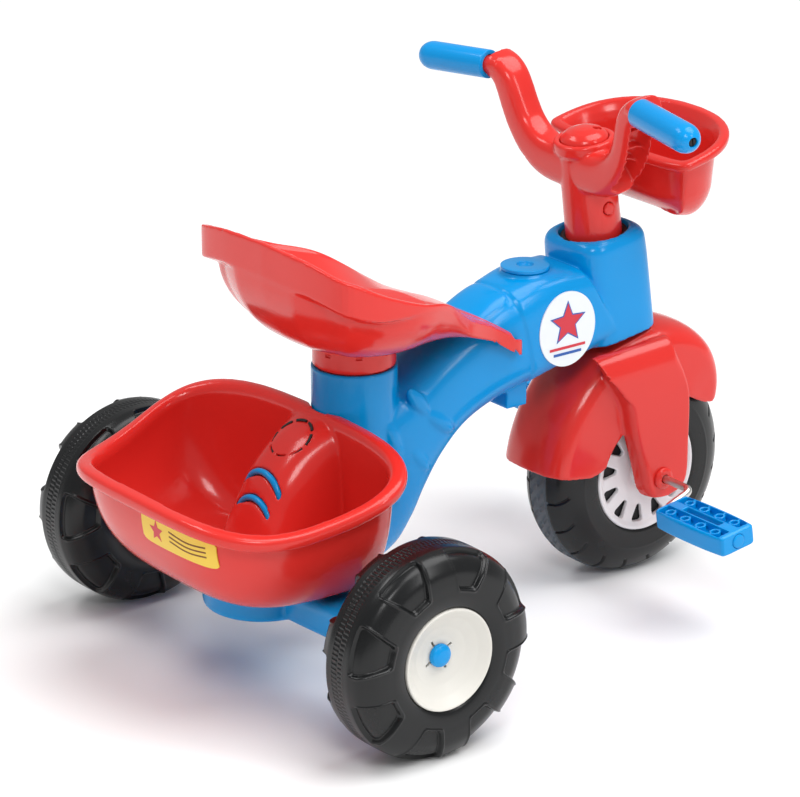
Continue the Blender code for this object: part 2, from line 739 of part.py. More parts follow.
# The arm's sweep away from the column, each spot by its x, z and half height
ARM = ((6, 70, 26), (45, 71, 24), (66, 77, 18), (80, 89, 13), (88, 105, 11), (92, 120, 11),
       (95, 132, 11.5), (100.5, 140, 12), (106, 142, 12))
ARM_Y = 9.0
ARM_HALF_DEPTH = 17.0
GRIP_IN = Vector((109.5, 19, 142.7))
GRIP_OUT = Vector((187.9, 30.8, 139.1))


def arm_solid(side, trim):
    """The swept arm; a negative trim fattens it, for the gap round it."""
    spots = [Vector((x, 0, z)) for x, z, _ in ARM]
    rings = []
    for i, (x, z, half) in enumerate(ARM):
        a, b = spots[max(i - 1, 0)], spots[min(i + 1, len(spots) - 1)]
        ahead = (b - a).normalized()
        across = Vector((-ahead.z, 0, ahead.x))
        rings.append([
            Vector((x, ARM_Y, z)) + across * w + Vector((0, d, 0))
            for w, d in superellipse(half - trim, ARM_HALF_DEPTH - trim, 5, 16)
        ])
    bm = loft(rings)
    return bm if side > 0 else mirrored(bm)


def grip_frame(side):
    """Z along the grip, from its inner end outwards."""
    axis = GRIP_OUT - GRIP_IN
    turn = axis.to_track_quat("Z", "Y").to_matrix().to_4x4()
    frame = Matrix.Translation(GRIP_IN) @ turn
    return frame, axis.length


def make_handlebar():
    column = [(0, -21.7), (COLUMN_R, -21.7), (26.6, 72), (30.6, 75), (30.6, 84.5), (29, 86.5), (0, 86.5)]
    bar = piece("handlebar", turned(column, 28, closed=False), "steering", "red_plastic", local=True)
    for side in SIDES.values():
        join(bar, arm_solid(side, 0), local=True)
        frame, _ = grip_frame(side)
        spigot = moved(rod(9, -16, 70, 16), frame)
        join(bar, spigot if side > 0 else mirrored(spigot), local=True)
    cut(bar, rod(STEM_R + 0.4, -40, 83, 28), local=True)
    cut(bar, rod(24, 80, 130, 28), local=True)
    cut(bar, along_x(rod(6 + GAP, -40, -10, 16), 0, 0, BUTTON_Z), local=True)
    cap = [(0, 76), (21.9, 76), (21.9, 80.3), (23.6, 80.3), (23.6, 86.5), (20, 91.5), (12, 95), (0, 96.5)]
    cap = piece("stem_cap", turned(cap, 28, closed=False), "steering", "red_plastic", local=True)
    screw_at = Matrix.Translation((-8, -10.4, 0))
    cut(cap, moved(rod(3.5 + GAP, 80, 110, 16), screw_at), local=True)
    screw = [(0, 80.4), (3.5, 80.4), (3.5, 94.5), (2.6, 95.4), (0, 95.4)]
    piece("stem_cap_screw", moved(turned(screw, 10, closed=False), screw_at), "steering", "steel", local=True)
    button = turned([(0, 15), (6, 15), (6, 27.6), (5, 28.4), (0, 28.4)], 16, closed=False)
    piece("lock_button", along_x(button, flip=True), "lock_button", "red_plastic", local=True)
    for name, side in SIDES.items():
        frame, length = grip_frame(side)
        grip = [(9.4, 2), (14.2, 2), (14.2, length - 1), (13.2, length + 5), (10.5, length + 9.5),
                (6, length + 12.6), (3.3, length + 13.6), (3.3, 74), (9.4, 74)]
        screw = [(0, 75), (3, 75), (3, length + 11), (0, length + 11)]
        for title, profile, closed, material in (("grip", grip, True, "blue_plastic"), ("grip_screw", screw, False, "steel")):
            bm = moved(turned(profile, 20 if closed else 10, closed), frame)
            piece(f"{title}_{name}", bm if side > 0 else mirrored(bm), "steering", material, local=True)


# ---------------------------------------------------------------- front basket


def pod_ring(inset, z, count=32):
    """A D-shaped ring, nearly straight behind and round in front; the rim's end of it rises to the front."""
    ring = []
    for i in range(count):
        t = 2 * math.pi * i / count
        c, s = math.cos(t), math.sin(t)
        n = 2.3 if s < 0 else 5
        depth = (POD_DEPTH - 24 - inset) if s < 0 else (24 - inset)
        y = POD_BACK_Y - 24 + power(s, 2 / n) * depth
        lift = POD_TILT * (POD_BACK_Y - 24 - y) * max(0.0, z - POD_FLOOR - 3.5) / (POD_RIM_Z - POD_FLOOR - 3.5)
        ring.append((power(c, 2 / n) * (POD_HALF_WIDTH - inset), y, z + lift))
    return ring


def make_front_basket():
    levels = [(28, POD_FLOOR), (23, POD_FLOOR + 3), (20, POD_FLOOR + 9), (15, POD_RIM_Z - 12), (14, POD_RIM_Z - 8),
              (1, POD_RIM_Z - 7), (0, POD_RIM_Z - 3), (3, POD_RIM_Z), (7, POD_RIM_Z)]
    pod = piece("front_basket", loft([pod_ring(*level) for level in levels]), "steering", "red_plastic")
    inner = [(32, POD_FLOOR + 3.5), (24, POD_FLOOR + 9), (18.5, POD_RIM_Z - 8), (14, POD_RIM_Z - 1),
             (14, POD_RIM_Z + 6)]
    cut(pod, loft([pod_ring(*level) for level in inner]))
    cut(pod, rod(31.5, -20, 110, 32), local=True)
    for side in SIDES.values():
        cut(pod, arm_solid(side, -0.6), local=True)


def build():
    clear_scene()
    make_materials()
    make_empties()
    make_frame()
    make_frame_fittings()
    make_seat()
    make_rear_basket()
    make_rear_wheels()
    make_front_wheel()
    make_pedals()
    make_fork()
    make_handlebar()
    make_front_basket()


build()
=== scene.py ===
"""Looks of the moulded plastic tricycle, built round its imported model.

Sizes are millimetres in the bench frame: the rear axle is at y = 0, -Y is forward,
+X is the rider's left and the floor is z = 0. SHIFT takes that frame to the row's.
"""

import json
import math

import bpy
import numpy as np
from mathutils import Matrix, Vector

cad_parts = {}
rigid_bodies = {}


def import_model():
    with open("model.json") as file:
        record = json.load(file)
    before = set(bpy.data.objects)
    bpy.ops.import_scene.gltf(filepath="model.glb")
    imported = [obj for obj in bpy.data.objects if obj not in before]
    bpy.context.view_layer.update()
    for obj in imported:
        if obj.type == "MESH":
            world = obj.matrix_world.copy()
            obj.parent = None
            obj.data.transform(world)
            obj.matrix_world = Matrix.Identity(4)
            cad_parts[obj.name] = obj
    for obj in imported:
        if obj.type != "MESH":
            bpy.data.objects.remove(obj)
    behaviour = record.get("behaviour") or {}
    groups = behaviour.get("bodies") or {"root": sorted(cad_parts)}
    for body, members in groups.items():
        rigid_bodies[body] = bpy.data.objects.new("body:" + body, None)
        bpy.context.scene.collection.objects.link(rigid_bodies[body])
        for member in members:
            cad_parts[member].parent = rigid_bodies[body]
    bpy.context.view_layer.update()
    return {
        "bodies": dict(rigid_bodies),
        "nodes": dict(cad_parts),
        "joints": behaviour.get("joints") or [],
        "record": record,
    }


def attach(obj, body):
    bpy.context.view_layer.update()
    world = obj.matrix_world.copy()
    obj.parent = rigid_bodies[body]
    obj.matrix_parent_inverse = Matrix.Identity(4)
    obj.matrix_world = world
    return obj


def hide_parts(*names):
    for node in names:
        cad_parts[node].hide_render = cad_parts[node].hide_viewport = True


MM = 0.001
SHIFT = (0.0, 190.9, 0.0)
TAU = 2 * math.pi

# Sizes shared with the model
REAR_AXLE_Z = 100.0
HALF_TRACK = 231.7
FRONT_HUB = (0.0, -429.5, 110.3)
CRANK_BACK, CRANK_DOWN = 33.0, 12.0
RAKE = math.radians(8.2)
STEER_POINT = (0.0, -385.2, 371.0)
HEAD_TOP, HEAD_BOTTOM = -8.0, -115.0
SOCKET_Y, SOCKET_R, SOCKET_TOP = -95.0, 41.0, 286.0
BASKET_REAR_Y, BASKET_FRONT_Y, BASKET_FLOOR = 158.0, -63.0, 110.0
WALL, TUB_SIDES = 4.0, 160
POD_BACK_Y, POD_RIM_Z, POD_FLOOR = -406.0, 448.0, 386.0
POD_HALF_WIDTH, POD_DEPTH, POD_TILT = 103.0, 108.0, 0.22
BOSS_Y = -301.0
BADGE_Y, BADGE_Z, BADGE_HALF_Y, BADGE_HALF_Z = -319.0, 284.0, 34.5, 37.5
SNAP_HEIGHT = 18
CAP_SCREW = (-8, -10.4)
CLIPS = {"basket_clip_upper": (10.5, 200.0), "basket_clip_lower": (21.0, 176.5)}
SIDES = {"left": 1, "right": -1}

SPINE = (
    (-345, 336, -390, 256, 41.5, 4.5),
    (-300, 336, -335, 245, 41.5, 4.0),
    (-262, 328, -286, 231, 41.0, 3.2),
    (-232, 318, -246, 220, 40.0, 3.0),
    (-172, 285, -209, 205, 40.0, 3.0),
    (-135, 262, -180, 180, 41.0, 3.0),
    (-95, 250, -160, 150, 42.0, 3.0),
    (-68, 243, -150, 122, 38.0, 2.8),
    (-26, 223, -136, 95, 31.0, 2.4),
    (4, 197, -100, 79, 30.0, 2.3),
    (17, 172, -60, 77, 30.0, 2.3),
    (30, 143, -10, 77, 30.0, 2.3),
    (40, 108, 20, 77, 30.0, 2.3),
)
HOOD = ((9, 129, 46), (20, 130, 46), (32, 132, 46), (44, 135, 46), (56, 139, 46), (68, 143.5, 46),
        (80, 147, 46), (92, 150, 46), (104, 152, 46), (114, 151.5, 45.5), (124, 147, 45), (132, 140, 43.5),
        (140, 130, 42), (147, 119, 40.5))
ARM = ((6, 58, 22), (40, 60, 21.5), (61, 70, 19.5), (75, 86, 17), (83, 103, 16), (88, 118, 15.5),
       (93.5, 131, 14.6), (101, 138.5, 13.6), (112, 142, 13.4))
ARM_Y, ARM_HALF_DEPTH = 9.0, 17.0
GRIP_IN, GRIP_OUT = Vector((109.5, 19, 142.7)), Vector((187.9, 30.8, 139.1))


# ---- curves and solids


def smooth_curve(points, count):
    """Evenly spaced points on a Catmull-Rom curve through rows of numbers."""
    pts = np.array(points, float)
    ext = np.vstack([2 * pts[0] - pts[1], pts, 2 * pts[-1] - pts[-2]])
    t = np.linspace(0, 1, 24, endpoint=False)[:, None]
    fine = []
    for a, b, c, d in zip(ext, ext[1:], ext[2:], ext[3:]):
        fine.append(0.5 * (2 * b + (c - a) * t + (2 * a - 5 * b + 4 * c - d) * t**2
                           + (3 * b - a - 3 * c + d) * t**3))
    fine = np.vstack(fine + [pts[-1:]])
    return resample(fine, count)


def resample(line, count):
    steps = np.r_[0, np.cumsum(np.linalg.norm(np.diff(line, axis=0), axis=1))]
    where = np.linspace(0, steps[-1], count)
    return np.column_stack([np.interp(where, steps, line[:, k]) for k in range(line.shape[1])])


def power(value, exponent):
    return np.sign(value) * np.abs(value) ** exponent


def superellipse(half_a, half_b, n, count):
    t = np.arange(count) * TAU / count
    return half_a * power(np.cos(t), 2 / n), half_b * power(np.sin(t), 2 / n)


def loft(rings):
    """A closed solid through rings of equal count, with a fan over each end."""
    rings = np.array(rings, float)
    rows, count = rings.shape[:2]
    points = np.vstack([rings.reshape(-1, 3), rings[0].mean(0), rings[-1].mean(0)])
    i, j = np.arange(count), (np.arange(count) + 1) % count
    faces = []
    for k in range(rows - 1):
        low, high = k * count, (k + 1) * count
        faces += np.column_stack([low + i, low + j, high + j, high + i]).tolist()
    top = (rows - 1) * count
    faces += [[rows * count, b, a] for a, b in zip(i, j)]
    faces += [[rows * count + 1, top + a, top + b] for a, b in zip(i, j)]
    return points, faces


def revolve(profile, segments=96, offset=None):
    """A ring about Z from a closed (r, h) profile; offset(turn, r, h) moves points outwards."""
    profile = np.array(profile, float)
    ahead, back = np.roll(profile, -1, 0), np.roll(profile, 1, 0)
    along = ahead - back
    normal = np.column_stack([along[:, 1], -along[:, 0]])
    normal /= np.linalg.norm(normal, axis=1, keepdims=True) + 1e-9
    if signed_area(profile) < 0:
        normal = -normal
    turn = np.arange(segments) * TAU / segments
    r = np.broadcast_to(profile[:, 0], (segments, len(profile))).copy()
    h = np.broadcast_to(profile[:, 1], (segments, len(profile))).copy()
    if offset is not None:
        move = offset(turn[:, None], r, h)
        r, h = r + move * normal[:, 0], h + move * normal[:, 1]
    points = np.stack([r * np.cos(turn)[:, None], r * np.sin(turn)[:, None], h], -1).reshape(-1, 3)
    count = len(profile)
    k, m = np.arange(count), (np.arange(count) + 1) % count
    faces = []
    for s in range(segments):
        a, b = s * count, ((s + 1) % segments) * count
        faces += np.column_stack([a + k, b + k, b + m, a + m]).tolist()
    return points, faces


def signed_area(profile):
    r, h = profile[:, 0], profile[:, 1]
    return 0.5 * np.sum(r * np.roll(h, -1) - np.roll(r, -1) * h)


def turned(profile, segments=96, soft=0.6):
    """A solid turned about Z from an open (r, h) profile that starts and ends on the axis."""
    line = rounded_line(profile, soft)
    line[:, 0] = np.maximum(line[:, 0], 0.02)
    turn = np.arange(segments) * TAU / segments
    across, along = np.cos(turn), np.sin(turn)
    return loft([np.column_stack([r * across, r * along, np.full(segments, h)]) for r, h in line])


def rounded_line(corners, radius, steps=4, closed=False):
    """A line with each corner replaced by a short curve."""
    pts = [np.array(c, float) for c in corners]
    around = zip(pts[-1:] + pts[:-1], pts, pts[1:] + pts[:1]) if closed else zip(pts, pts[1:], pts[2:])
    out = [] if closed else [pts[0]]
    for before, corner, after in around:
        to_a, to_b = before - corner, after - corner
        reach_a = min(radius, 0.45 * np.linalg.norm(to_a))
        reach_b = min(radius, 0.45 * np.linalg.norm(to_b))
        a = corner + to_a / (np.linalg.norm(to_a) + 1e-9) * reach_a
        b = corner + to_b / (np.linalg.norm(to_b) + 1e-9) * reach_b
        for i in range(steps + 1):
            t = i / steps
            out.append((1 - t) ** 2 * a + 2 * t * (1 - t) * corner + t**2 * b)
    if not closed:
        out.append(pts[-1])
    return np.array(out)


def ring_of(profile, segments=96, soft=0.5):
    return revolve(rounded_line(profile, soft, closed=True), segments)


def rod(radius, low, high, segments=64):
    return turned([(0, low), (radius, low), (radius, high), (0, high)], segments, 0.01)


def prism(outline, x0, x1):
    """A flat (y, z) outline drawn out along X."""
    outline = np.array(outline, float)
    return loft([np.column_stack([np.full(len(outline), x), outline]) for x in (x0, x1)])


def slab(outline, side, x0, x1):
    """A prism between two distances from the middle plane, on the side given."""
    return prism(outline, *sorted((side * x0, side * x1)))


def box(x0, x1, y0, y1, z0, z1):
    return prism([(y0, z0), (y1, z0), (y1, z1), (y0, z1)], x0, x1)


def tube(path, radius, sides=24):
    path = np.array(path, float)
    rings = []
    side = None
    for i, p in enumerate(path):
        ahead = path[min(i + 1, len(path) - 1)] - path[max(i - 1, 0)]
        ahead /= np.linalg.norm(ahead)
        if side is None:
            side = np.cross(ahead, (0.3, 0.9, 0.2))
        side = side - ahead * side.dot(ahead)
        side /= np.linalg.norm(side)
        other = np.cross(ahead, side)
        t = np.arange(sides)[:, None] * TAU / sides
        rings.append(p + radius * (np.cos(t) * side + np.sin(t) * other))
    return loft(rings)


def ellipsoid(centre, axes, turn=0.0):
    """A smooth bump; turn tilts it about X, in degrees."""
    rings = []
    t = np.arange(28) * TAU / 28
    for a in np.linspace(-88, 88, 15):
        r, s = math.cos(math.radians(a)), math.sin(math.radians(a))
        x = np.full(28, s * axes[0])
        rings.append(np.column_stack([x, r * axes[1] * np.cos(t), r * axes[2] * np.sin(t)]))
    turned_solid = moved(loft(rings), Matrix.Rotation(math.radians(turn), 4, "X"))
    return moved(turned_solid, Matrix.Translation(centre))


def moved(solid, matrix):
    points, faces = solid
    m = np.array(matrix)
    points = points @ m[:3, :3].T + m[:3, 3]
    if np.linalg.det(m[:3, :3]) < 0:
        faces = [f[::-1] for f in faces]
    return points, faces


def joined(solids):
    """Separate solids as one mesh."""
    points, faces, start = [], [], 0
    for some_points, some_faces in solids:
        points.append(some_points)
        faces += [[start + v for v in face] for face in some_faces]
        start += len(some_points)
    return np.vstack(points), faces


def shifted(solid, x=0.0, y=0.0, z=0.0):
    return moved(solid, Matrix.Translation((x, y, z)))


def spun(solid, degrees):
    return moved(solid, Matrix.Rotation(math.radians(degrees), 4, "Z"))


def along_x(solid, x=0.0, y=0.0, z=0.0, side=1):
    """Lays a solid made about Z along X, its +Z end to the side given."""
    return moved(solid, Matrix.Translation((x, y, z)) @ Matrix.Rotation(math.radians(90 * side), 4, "Y"))


def both(solid, side):
    """A solid made for the left side, mirrored where the side is the right."""
    return solid if side > 0 else moved(solid, Matrix.Diagonal((-1, 1, 1, 1)))


STEER = Matrix.Translation(STEER_POINT) @ Matrix.Rotation(-RAKE, 4, "X")


def steered(solid):
    return moved(solid, STEER)


# ---- objects


def linked(name, data):
    """A new object with this data, in the scene."""
    obj = bpy.data.objects.new(name, data)
    bpy.context.collection.objects.link(obj)
    return obj


def mesh_object(name, solid):
    points, faces = solid
    mesh = bpy.data.meshes.new(name)
    mesh.from_pydata(((points + SHIFT) * MM).tolist(), [], faces)
    mesh.update()
    obj = linked(name, mesh)
    if signed_volume(mesh) < 0:
        mesh.flip_normals()
    return obj


def signed_volume(mesh):
    mesh.calc_loop_triangles()
    points = np.empty(len(mesh.vertices) * 3)
    mesh.vertices.foreach_get("co", points)
    points = points.reshape(-1, 3)
    tris = np.empty(len(mesh.loop_triangles) * 3, int)
    mesh.loop_triangles.foreach_get("vertices", tris)
    a, b, c = (points[tris.reshape(-1, 3)[:, k]] for k in range(3))
    return np.sum(np.cross(a, b) * c)


def bake(obj):
    """Replaces an object's mesh with its modifiers' result."""
    graph = bpy.context.evaluated_depsgraph_get()
    mesh = bpy.data.meshes.new_from_object(obj.evaluated_get(graph))
    obj.modifiers.clear()
    obj.data = mesh


def combined(obj, solids, operation):
    for solid in solids:
        with_object(obj, mesh_object("tool", solid), operation)


def with_object(obj, tool, operation):
    modifier = obj.modifiers.new("boolean", "BOOLEAN")
    modifier.operation = operation
    modifier.solver = "MANIFOLD"
    modifier.object = tool
    bake(obj)
    bpy.data.objects.remove(tool)


def soften(obj, voxel, iterations):
    """A fine remesh and a little smoothing, which round every edge."""
    remesh = obj.modifiers.new("remesh", "REMESH")
    remesh.mode = "VOXEL"
    remesh.voxel_size = voxel * MM
    smooth = obj.modifiers.new("smooth", "SMOOTH")
    smooth.factor = 0.5
    smooth.iterations = iterations
    bake(obj)


def moulded(name, solids, cuts=(), voxel=1.5, smooth=8, late=(), extra=None):
    """One moulding: the union of solids less the cuts, its edges softened by a fine remesh."""
    obj = mesh_object(name, solids[0])
    if len(solids) > 1:
        combined(obj, solids[1:], "UNION")
    if extra:
        with_object(obj, extra, "UNION")
    if cuts:
        combined(obj, cuts, "DIFFERENCE")
    soften(obj, voxel, smooth)
    if late:
        combined(obj, late, "DIFFERENCE")
    return obj


def shown(obj, material, body, replaces=()):
    """Gives a piece its material, its body and the nodes that it stands for."""
    obj.data.materials.clear()
    obj.data.materials.append(MATERIALS[material])
    obj.data.shade_smooth()
    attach(obj, body)
    if replaces:
        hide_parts(*replaces)
    return obj


def crisp(name, solid, material, body, replaces=(), angle=35):
    """A piece whose own fine mesh needs no remesh."""
    obj = shown(mesh_object(name, solid), material, body, replaces)
    obj.data.set_sharp_from_angle(angle=math.radians(angle))
    return obj


# ---- materials

MATERIALS = {}


def plastic(name, colour, roughness, bump=0.02, grain=900.0, coat=0.0, shade=0.06, shine=0.4):
    """Moulded plastic: slight colour drift, uneven gloss and a fine skin."""
    made = bpy.data.materials.new(name)
    made.use_nodes = True
    tree = made.node_tree
    shader = tree.nodes["Principled BSDF"]
    new = tree.nodes.new
    link = tree.links.new
    place = new("ShaderNodeTexCoord")

    def noise(scale, detail):
        texture = new("ShaderNodeTexNoise")
        texture.inputs["Scale"].default_value = scale
        texture.inputs["Detail"].default_value = detail
        link(place.outputs["Object"], texture.inputs["Vector"])
        return texture.outputs["Fac"]

    body = new("ShaderNodeMix")
    body.data_type = "RGBA"
    body.inputs["A"].default_value = (*(c * (1 - shade) for c in colour), 1)
    body.inputs["B"].default_value = (*(min(1.0, c * (1 + shade)) for c in colour), 1)
    link(noise(7.0, 3.0), body.inputs["Factor"])
    link(body.outputs["Result"], shader.inputs["Base Color"])

    spread = new("ShaderNodeMapRange")
    spread.inputs["To Min"].default_value = roughness * 0.88
    spread.inputs["To Max"].default_value = roughness * 1.15
    link(noise(28.0, 4.0), spread.inputs["Value"])
    link(spread.outputs["Result"], shader.inputs["Roughness"])

    relief = new("ShaderNodeBump")
    relief.inputs["Strength"].default_value = bump
    relief.inputs["Distance"].default_value = 0.0004
    link(noise(grain, 2.0), relief.inputs["Height"])
    link(relief.outputs["Normal"], shader.inputs["Normal"])
    shader.inputs["Specular IOR Level"].default_value = shine
    shader.inputs["Coat Weight"].default_value = coat
    shader.inputs["Coat Roughness"].default_value = 0.08
    MATERIALS[name] = made
    return made


def metal(name, colour, roughness):
    """Drawn steel rod: fine streaks and a faint tarnish."""
    made = plastic(name, colour, roughness, bump=0.05, grain=500.0, shade=0.1)
    made.node_tree.nodes["Principled BSDF"].inputs["Metallic"].default_value = 1.0
    return made


def make_materials():
    plastic("red", (0.68, 0.028, 0.022), 0.19, coat=0.12, shine=0.35)
    plastic("red_grain", (0.66, 0.03, 0.025), 0.5, bump=0.5, grain=420.0)
    plastic("blue", (0.0, 0.28, 0.68), 0.2, coat=0.1, shine=0.25)
    plastic("tyre", (0.005, 0.0055, 0.006), 0.26, bump=0.05, shade=0.15, shine=0.35)
    plastic("tread", (0.06, 0.075, 0.09), 0.45, bump=0.12, shade=0.12)
    plastic("disc", (0.68, 0.66, 0.61), 0.36, bump=0.03, shade=0.03)
    plastic("rim", (0.72, 0.70, 0.72), 0.36, bump=0.03, shade=0.03)
    plastic("dark", (0.006, 0.006, 0.007), 0.5)
    plastic("grey", (0.2, 0.2, 0.21), 0.5)
    plastic("plate", (0.80, 0.84, 0.87), 0.3, shade=0.02)
    plastic("label", (0.86, 0.58, 0.06), 0.4, shade=0.05)
    plastic("ink_red", (0.62, 0.03, 0.05), 0.4)
    plastic("ink_blue", (0.02, 0.10, 0.40), 0.4)
    plastic("ink_brown", (0.20, 0.06, 0.01), 0.5)
    metal("steel", (0.66, 0.65, 0.63), 0.28)


# ---- frame


def spine(grow=0.0, first=0, last=len(SPINE) - 1, widen=0.0, n_more=0.0):
    """The main spar between two of its stations."""
    rows = smooth_curve(SPINE, 97)
    nearest = [int(np.argmin(np.linalg.norm(rows[:, :4] - s[:4], axis=1))) for s in SPINE]
    rings = []
    for ty, tz, by, bz, half_width, n in rows[nearest[first]:nearest[last] + 1]:
        half = np.array([ty - by, tz - bz]) / 2
        middle = np.array([ty + by, tz + bz]) / 2
        half = half * (1 + grow / np.linalg.norm(half))
        x, s = superellipse(half_width + grow + widen, 1.0, n + n_more, 72)
        rings.append(np.column_stack([x, middle[0] + half[0] * s, middle[1] + half[1] * s]))
    return loft(rings)


def head_block():
    rings = []
    for height in (HEAD_BOTTOM, -90, -60, -40, -28):
        rings.append((height, 0.0, 42.0 if height < -30 else 41.5))
    for a in range(0, 91, 15):
        t = math.radians(a)
        rings.append((HEAD_TOP - 13 * (1 - math.sin(t)), 9 * (1 - math.cos(t)), 41.0))
    solid = []
    for height, inset, length in rings:
        x, y = superellipse(42 - inset, length - inset, 4, 96)
        solid.append(np.column_stack([x, y, np.full(96, height)]))
    return steered(loft(solid))


def axle_beam():
    rings = []
    for x, low, high, depth in ((-190, 72, 112, 24), (-150, 72, 112, 25), (-60, 71, 106, 28),
                                (60, 71, 106, 28), (150, 72, 112, 25), (190, 72, 112, 24)):
        y, z = superellipse(depth, (high - low) / 2, 4, 64)
        rings.append(np.column_stack([np.full(64, x), y, (high + low) / 2 + z]))
    return loft(rings)


def staple(name, extra=0.0, grow=0.0):
    y, apex = CLIPS[name]
    turns = np.radians(np.arange(-80, 81, 8))
    arch = [(26 * math.sin(t), y, apex - 24 * (1 - math.cos(t))) for t in turns]
    foot = 17 - extra * 0.15
    path = [(-foot, y, apex - 58 - extra)] + arch + [(foot, y, apex - 58 - extra)]
    return tube(path, 3.2 + grow, 20)


def make_frame():
    deck = turned([(0, 72), (54, 72), (57, 76), (57, 109.6), (0, 109.6)], 96, 4)
    boss = rod(23.5, 318, 338.0)
    leaves = [ellipsoid((side * x, y, z), (5.0, 21, 8), turn) for side in SIDES.values()
              for x, y, z, turn in ((38.0, -142, 246, 52), (38.8, -166, 222, 36), (39.0, -112, 214, 68),
                                    (38.2, -140, 192, 50), (38.5, -112, 172, 76))]
    shroud = spine(1.6, 0, 2)
    lug = box(-20, 20, -289, -264, 207, 240)
    solids = [spine(), shroud, head_block(), shifted(rod(SOCKET_R, 180, SOCKET_TOP - 0.2), y=SOCKET_Y),
              shifted(deck, y=13), axle_beam(), shifted(boss, y=BOSS_Y), lug] + leaves
    throat = ring_cutter()
    cuts = [throat, shifted(rod(36.3, 236, 300), y=SOCKET_Y),
            along_x(rod(4.4, -200, 200, 32), 0, 0, REAR_AXLE_Z), box(-15, 15, -284, -269, 200, 222)]
    cuts += [badge_solid(side, 42.2, 60, 0.6) for side in SIDES.values()]
    cuts += [staple(name, 2, 0.8) for name in CLIPS]
    frame = moulded("frame_shell", solids, cuts, voxel=1.5, smooth=7, extra=make_pad())
    shown(frame, "blue", "chassis", ("frame",))


def make_pad():
    """The thin raised pad on the frame's top, its rear edge scalloped."""
    pad = mesh_object("pad", spine(1.5, 1, 5))
    t = np.linspace(-1, 1, 41)
    rear = np.column_stack([-30 * t, -205 + 5 * np.cos(t * 3.2 * math.pi)])
    outline = np.vstack([rear, [(-30, -252), (-26, -257), (26, -257), (30, -252)]])
    tall = loft([np.column_stack([outline, np.full(len(outline), z)]) for z in (285, 350)])
    combined(pad, [tall], "INTERSECT")
    return pad


def ring_cutter():
    """The head's bore, flared a little at its top."""
    low = HEAD_BOTTOM - 20
    profile = [(0, low), (33, low), (33, -14), (34.5, -9), (38, -3), (38, 20), (0, 20)]
    return steered(turned(profile, 96, 0.5))


def badge_solid(side, x0, x1, grow):
    y, z = superellipse(BADGE_HALF_Y + grow, BADGE_HALF_Z + grow, 2.0, 96)
    return slab(np.column_stack([BADGE_Y + y, BADGE_Z + z]), side, x0, x1)


def star(centre, radius, inner=0.45):
    """A five-pointed outline with a point at the top."""
    angles = np.radians(90.0 + 36 * np.arange(10))
    reach = np.where(np.arange(10) % 2 == 0, radius, radius * inner)
    return np.column_stack([centre[0] + reach * np.cos(angles), centre[1] + reach * np.sin(angles)])


def make_badges():
    middle = (BADGE_Y, BADGE_Z + 6)
    for name, side in SIDES.items():
        plate = badge_solid(side, 41.5, 43.6, 0)
        crisp(f"badge_plate_{name}", plate, "plate", "chassis", (f"side_badge_{name}",))
        edge = slab(star(middle, 23), side, 43.4, 43.95)
        crisp(f"badge_star_edge_{name}", edge, "ink_blue", "chassis")
        face = slab(star(middle, 20), side, 43.4, 44.1)
        crisp(f"badge_star_{name}", face, "ink_red", "chassis")
        for k, (drop, half, ink) in enumerate(((17, 22, "ink_red"), (23, 17, "ink_blue"))):
            high, low = BADGE_Z - drop, BADGE_Z - drop - 2.6
            front, rear = BADGE_Y - half, BADGE_Y + half
            solid = slab([(front, high), (rear, high), (rear, low), (front, low)], side, 43.4, 44.1)
            crisp(f"badge_stripe_{k}_{name}", solid, ink, "chassis")


def make_fittings():
    profile = [(0, 326), (19, 326), (19, 338.4), (24, 338.4), (24, 342), (8.5, 342.3), (7, 339.6),
               (0, 339.6)]
    plug = shifted(turned(profile, 96, 0.9), y=BOSS_Y)
    crisp("top_plug", plug, "blue", "chassis", ("frame_top_plug",))
    for name in CLIPS:
        crisp(f"{name}_bar", staple(name), "blue", "chassis", (name,))
    axle = along_x(rod(4, -253, 253, 48), 0, 0, REAR_AXLE_Z)
    crisp("axle_bar", axle, "steel", "chassis", ("rear_axle",))
    heights = {"head_bush_upper": (-21.5, HEAD_TOP - 5), "head_bush_lower": (HEAD_BOTTOM, -90)}
    for name, (low, high) in heights.items():
        ring = ring_of([(28.3, low), (32.7, low), (32.7, high), (28.3, high)])
        crisp(f"{name}_ring", steered(ring), "dark", "chassis", (name,))


# ---- saddle


def seat_rim(count):
    """The saddle's outline, evenly spaced from the nose round to the nose."""
    half = smooth_curve(
        [(0, -262, 286), (34, -262, 286), (48, -259, 287.5), (53, -250, 291), (55, -220, 310),
         (71, -180, 329), (101, -130, 362), (119.5, -85, 376), (124, -40, 393), (119, -12, 407),
         (106, 2, 413), (65, 8, 420), (0, 10, 423)],
        count // 2 + 1,
    )
    right = half * (-1, 1, 1)
    return np.vstack([right[:-1], half[:0:-1]])


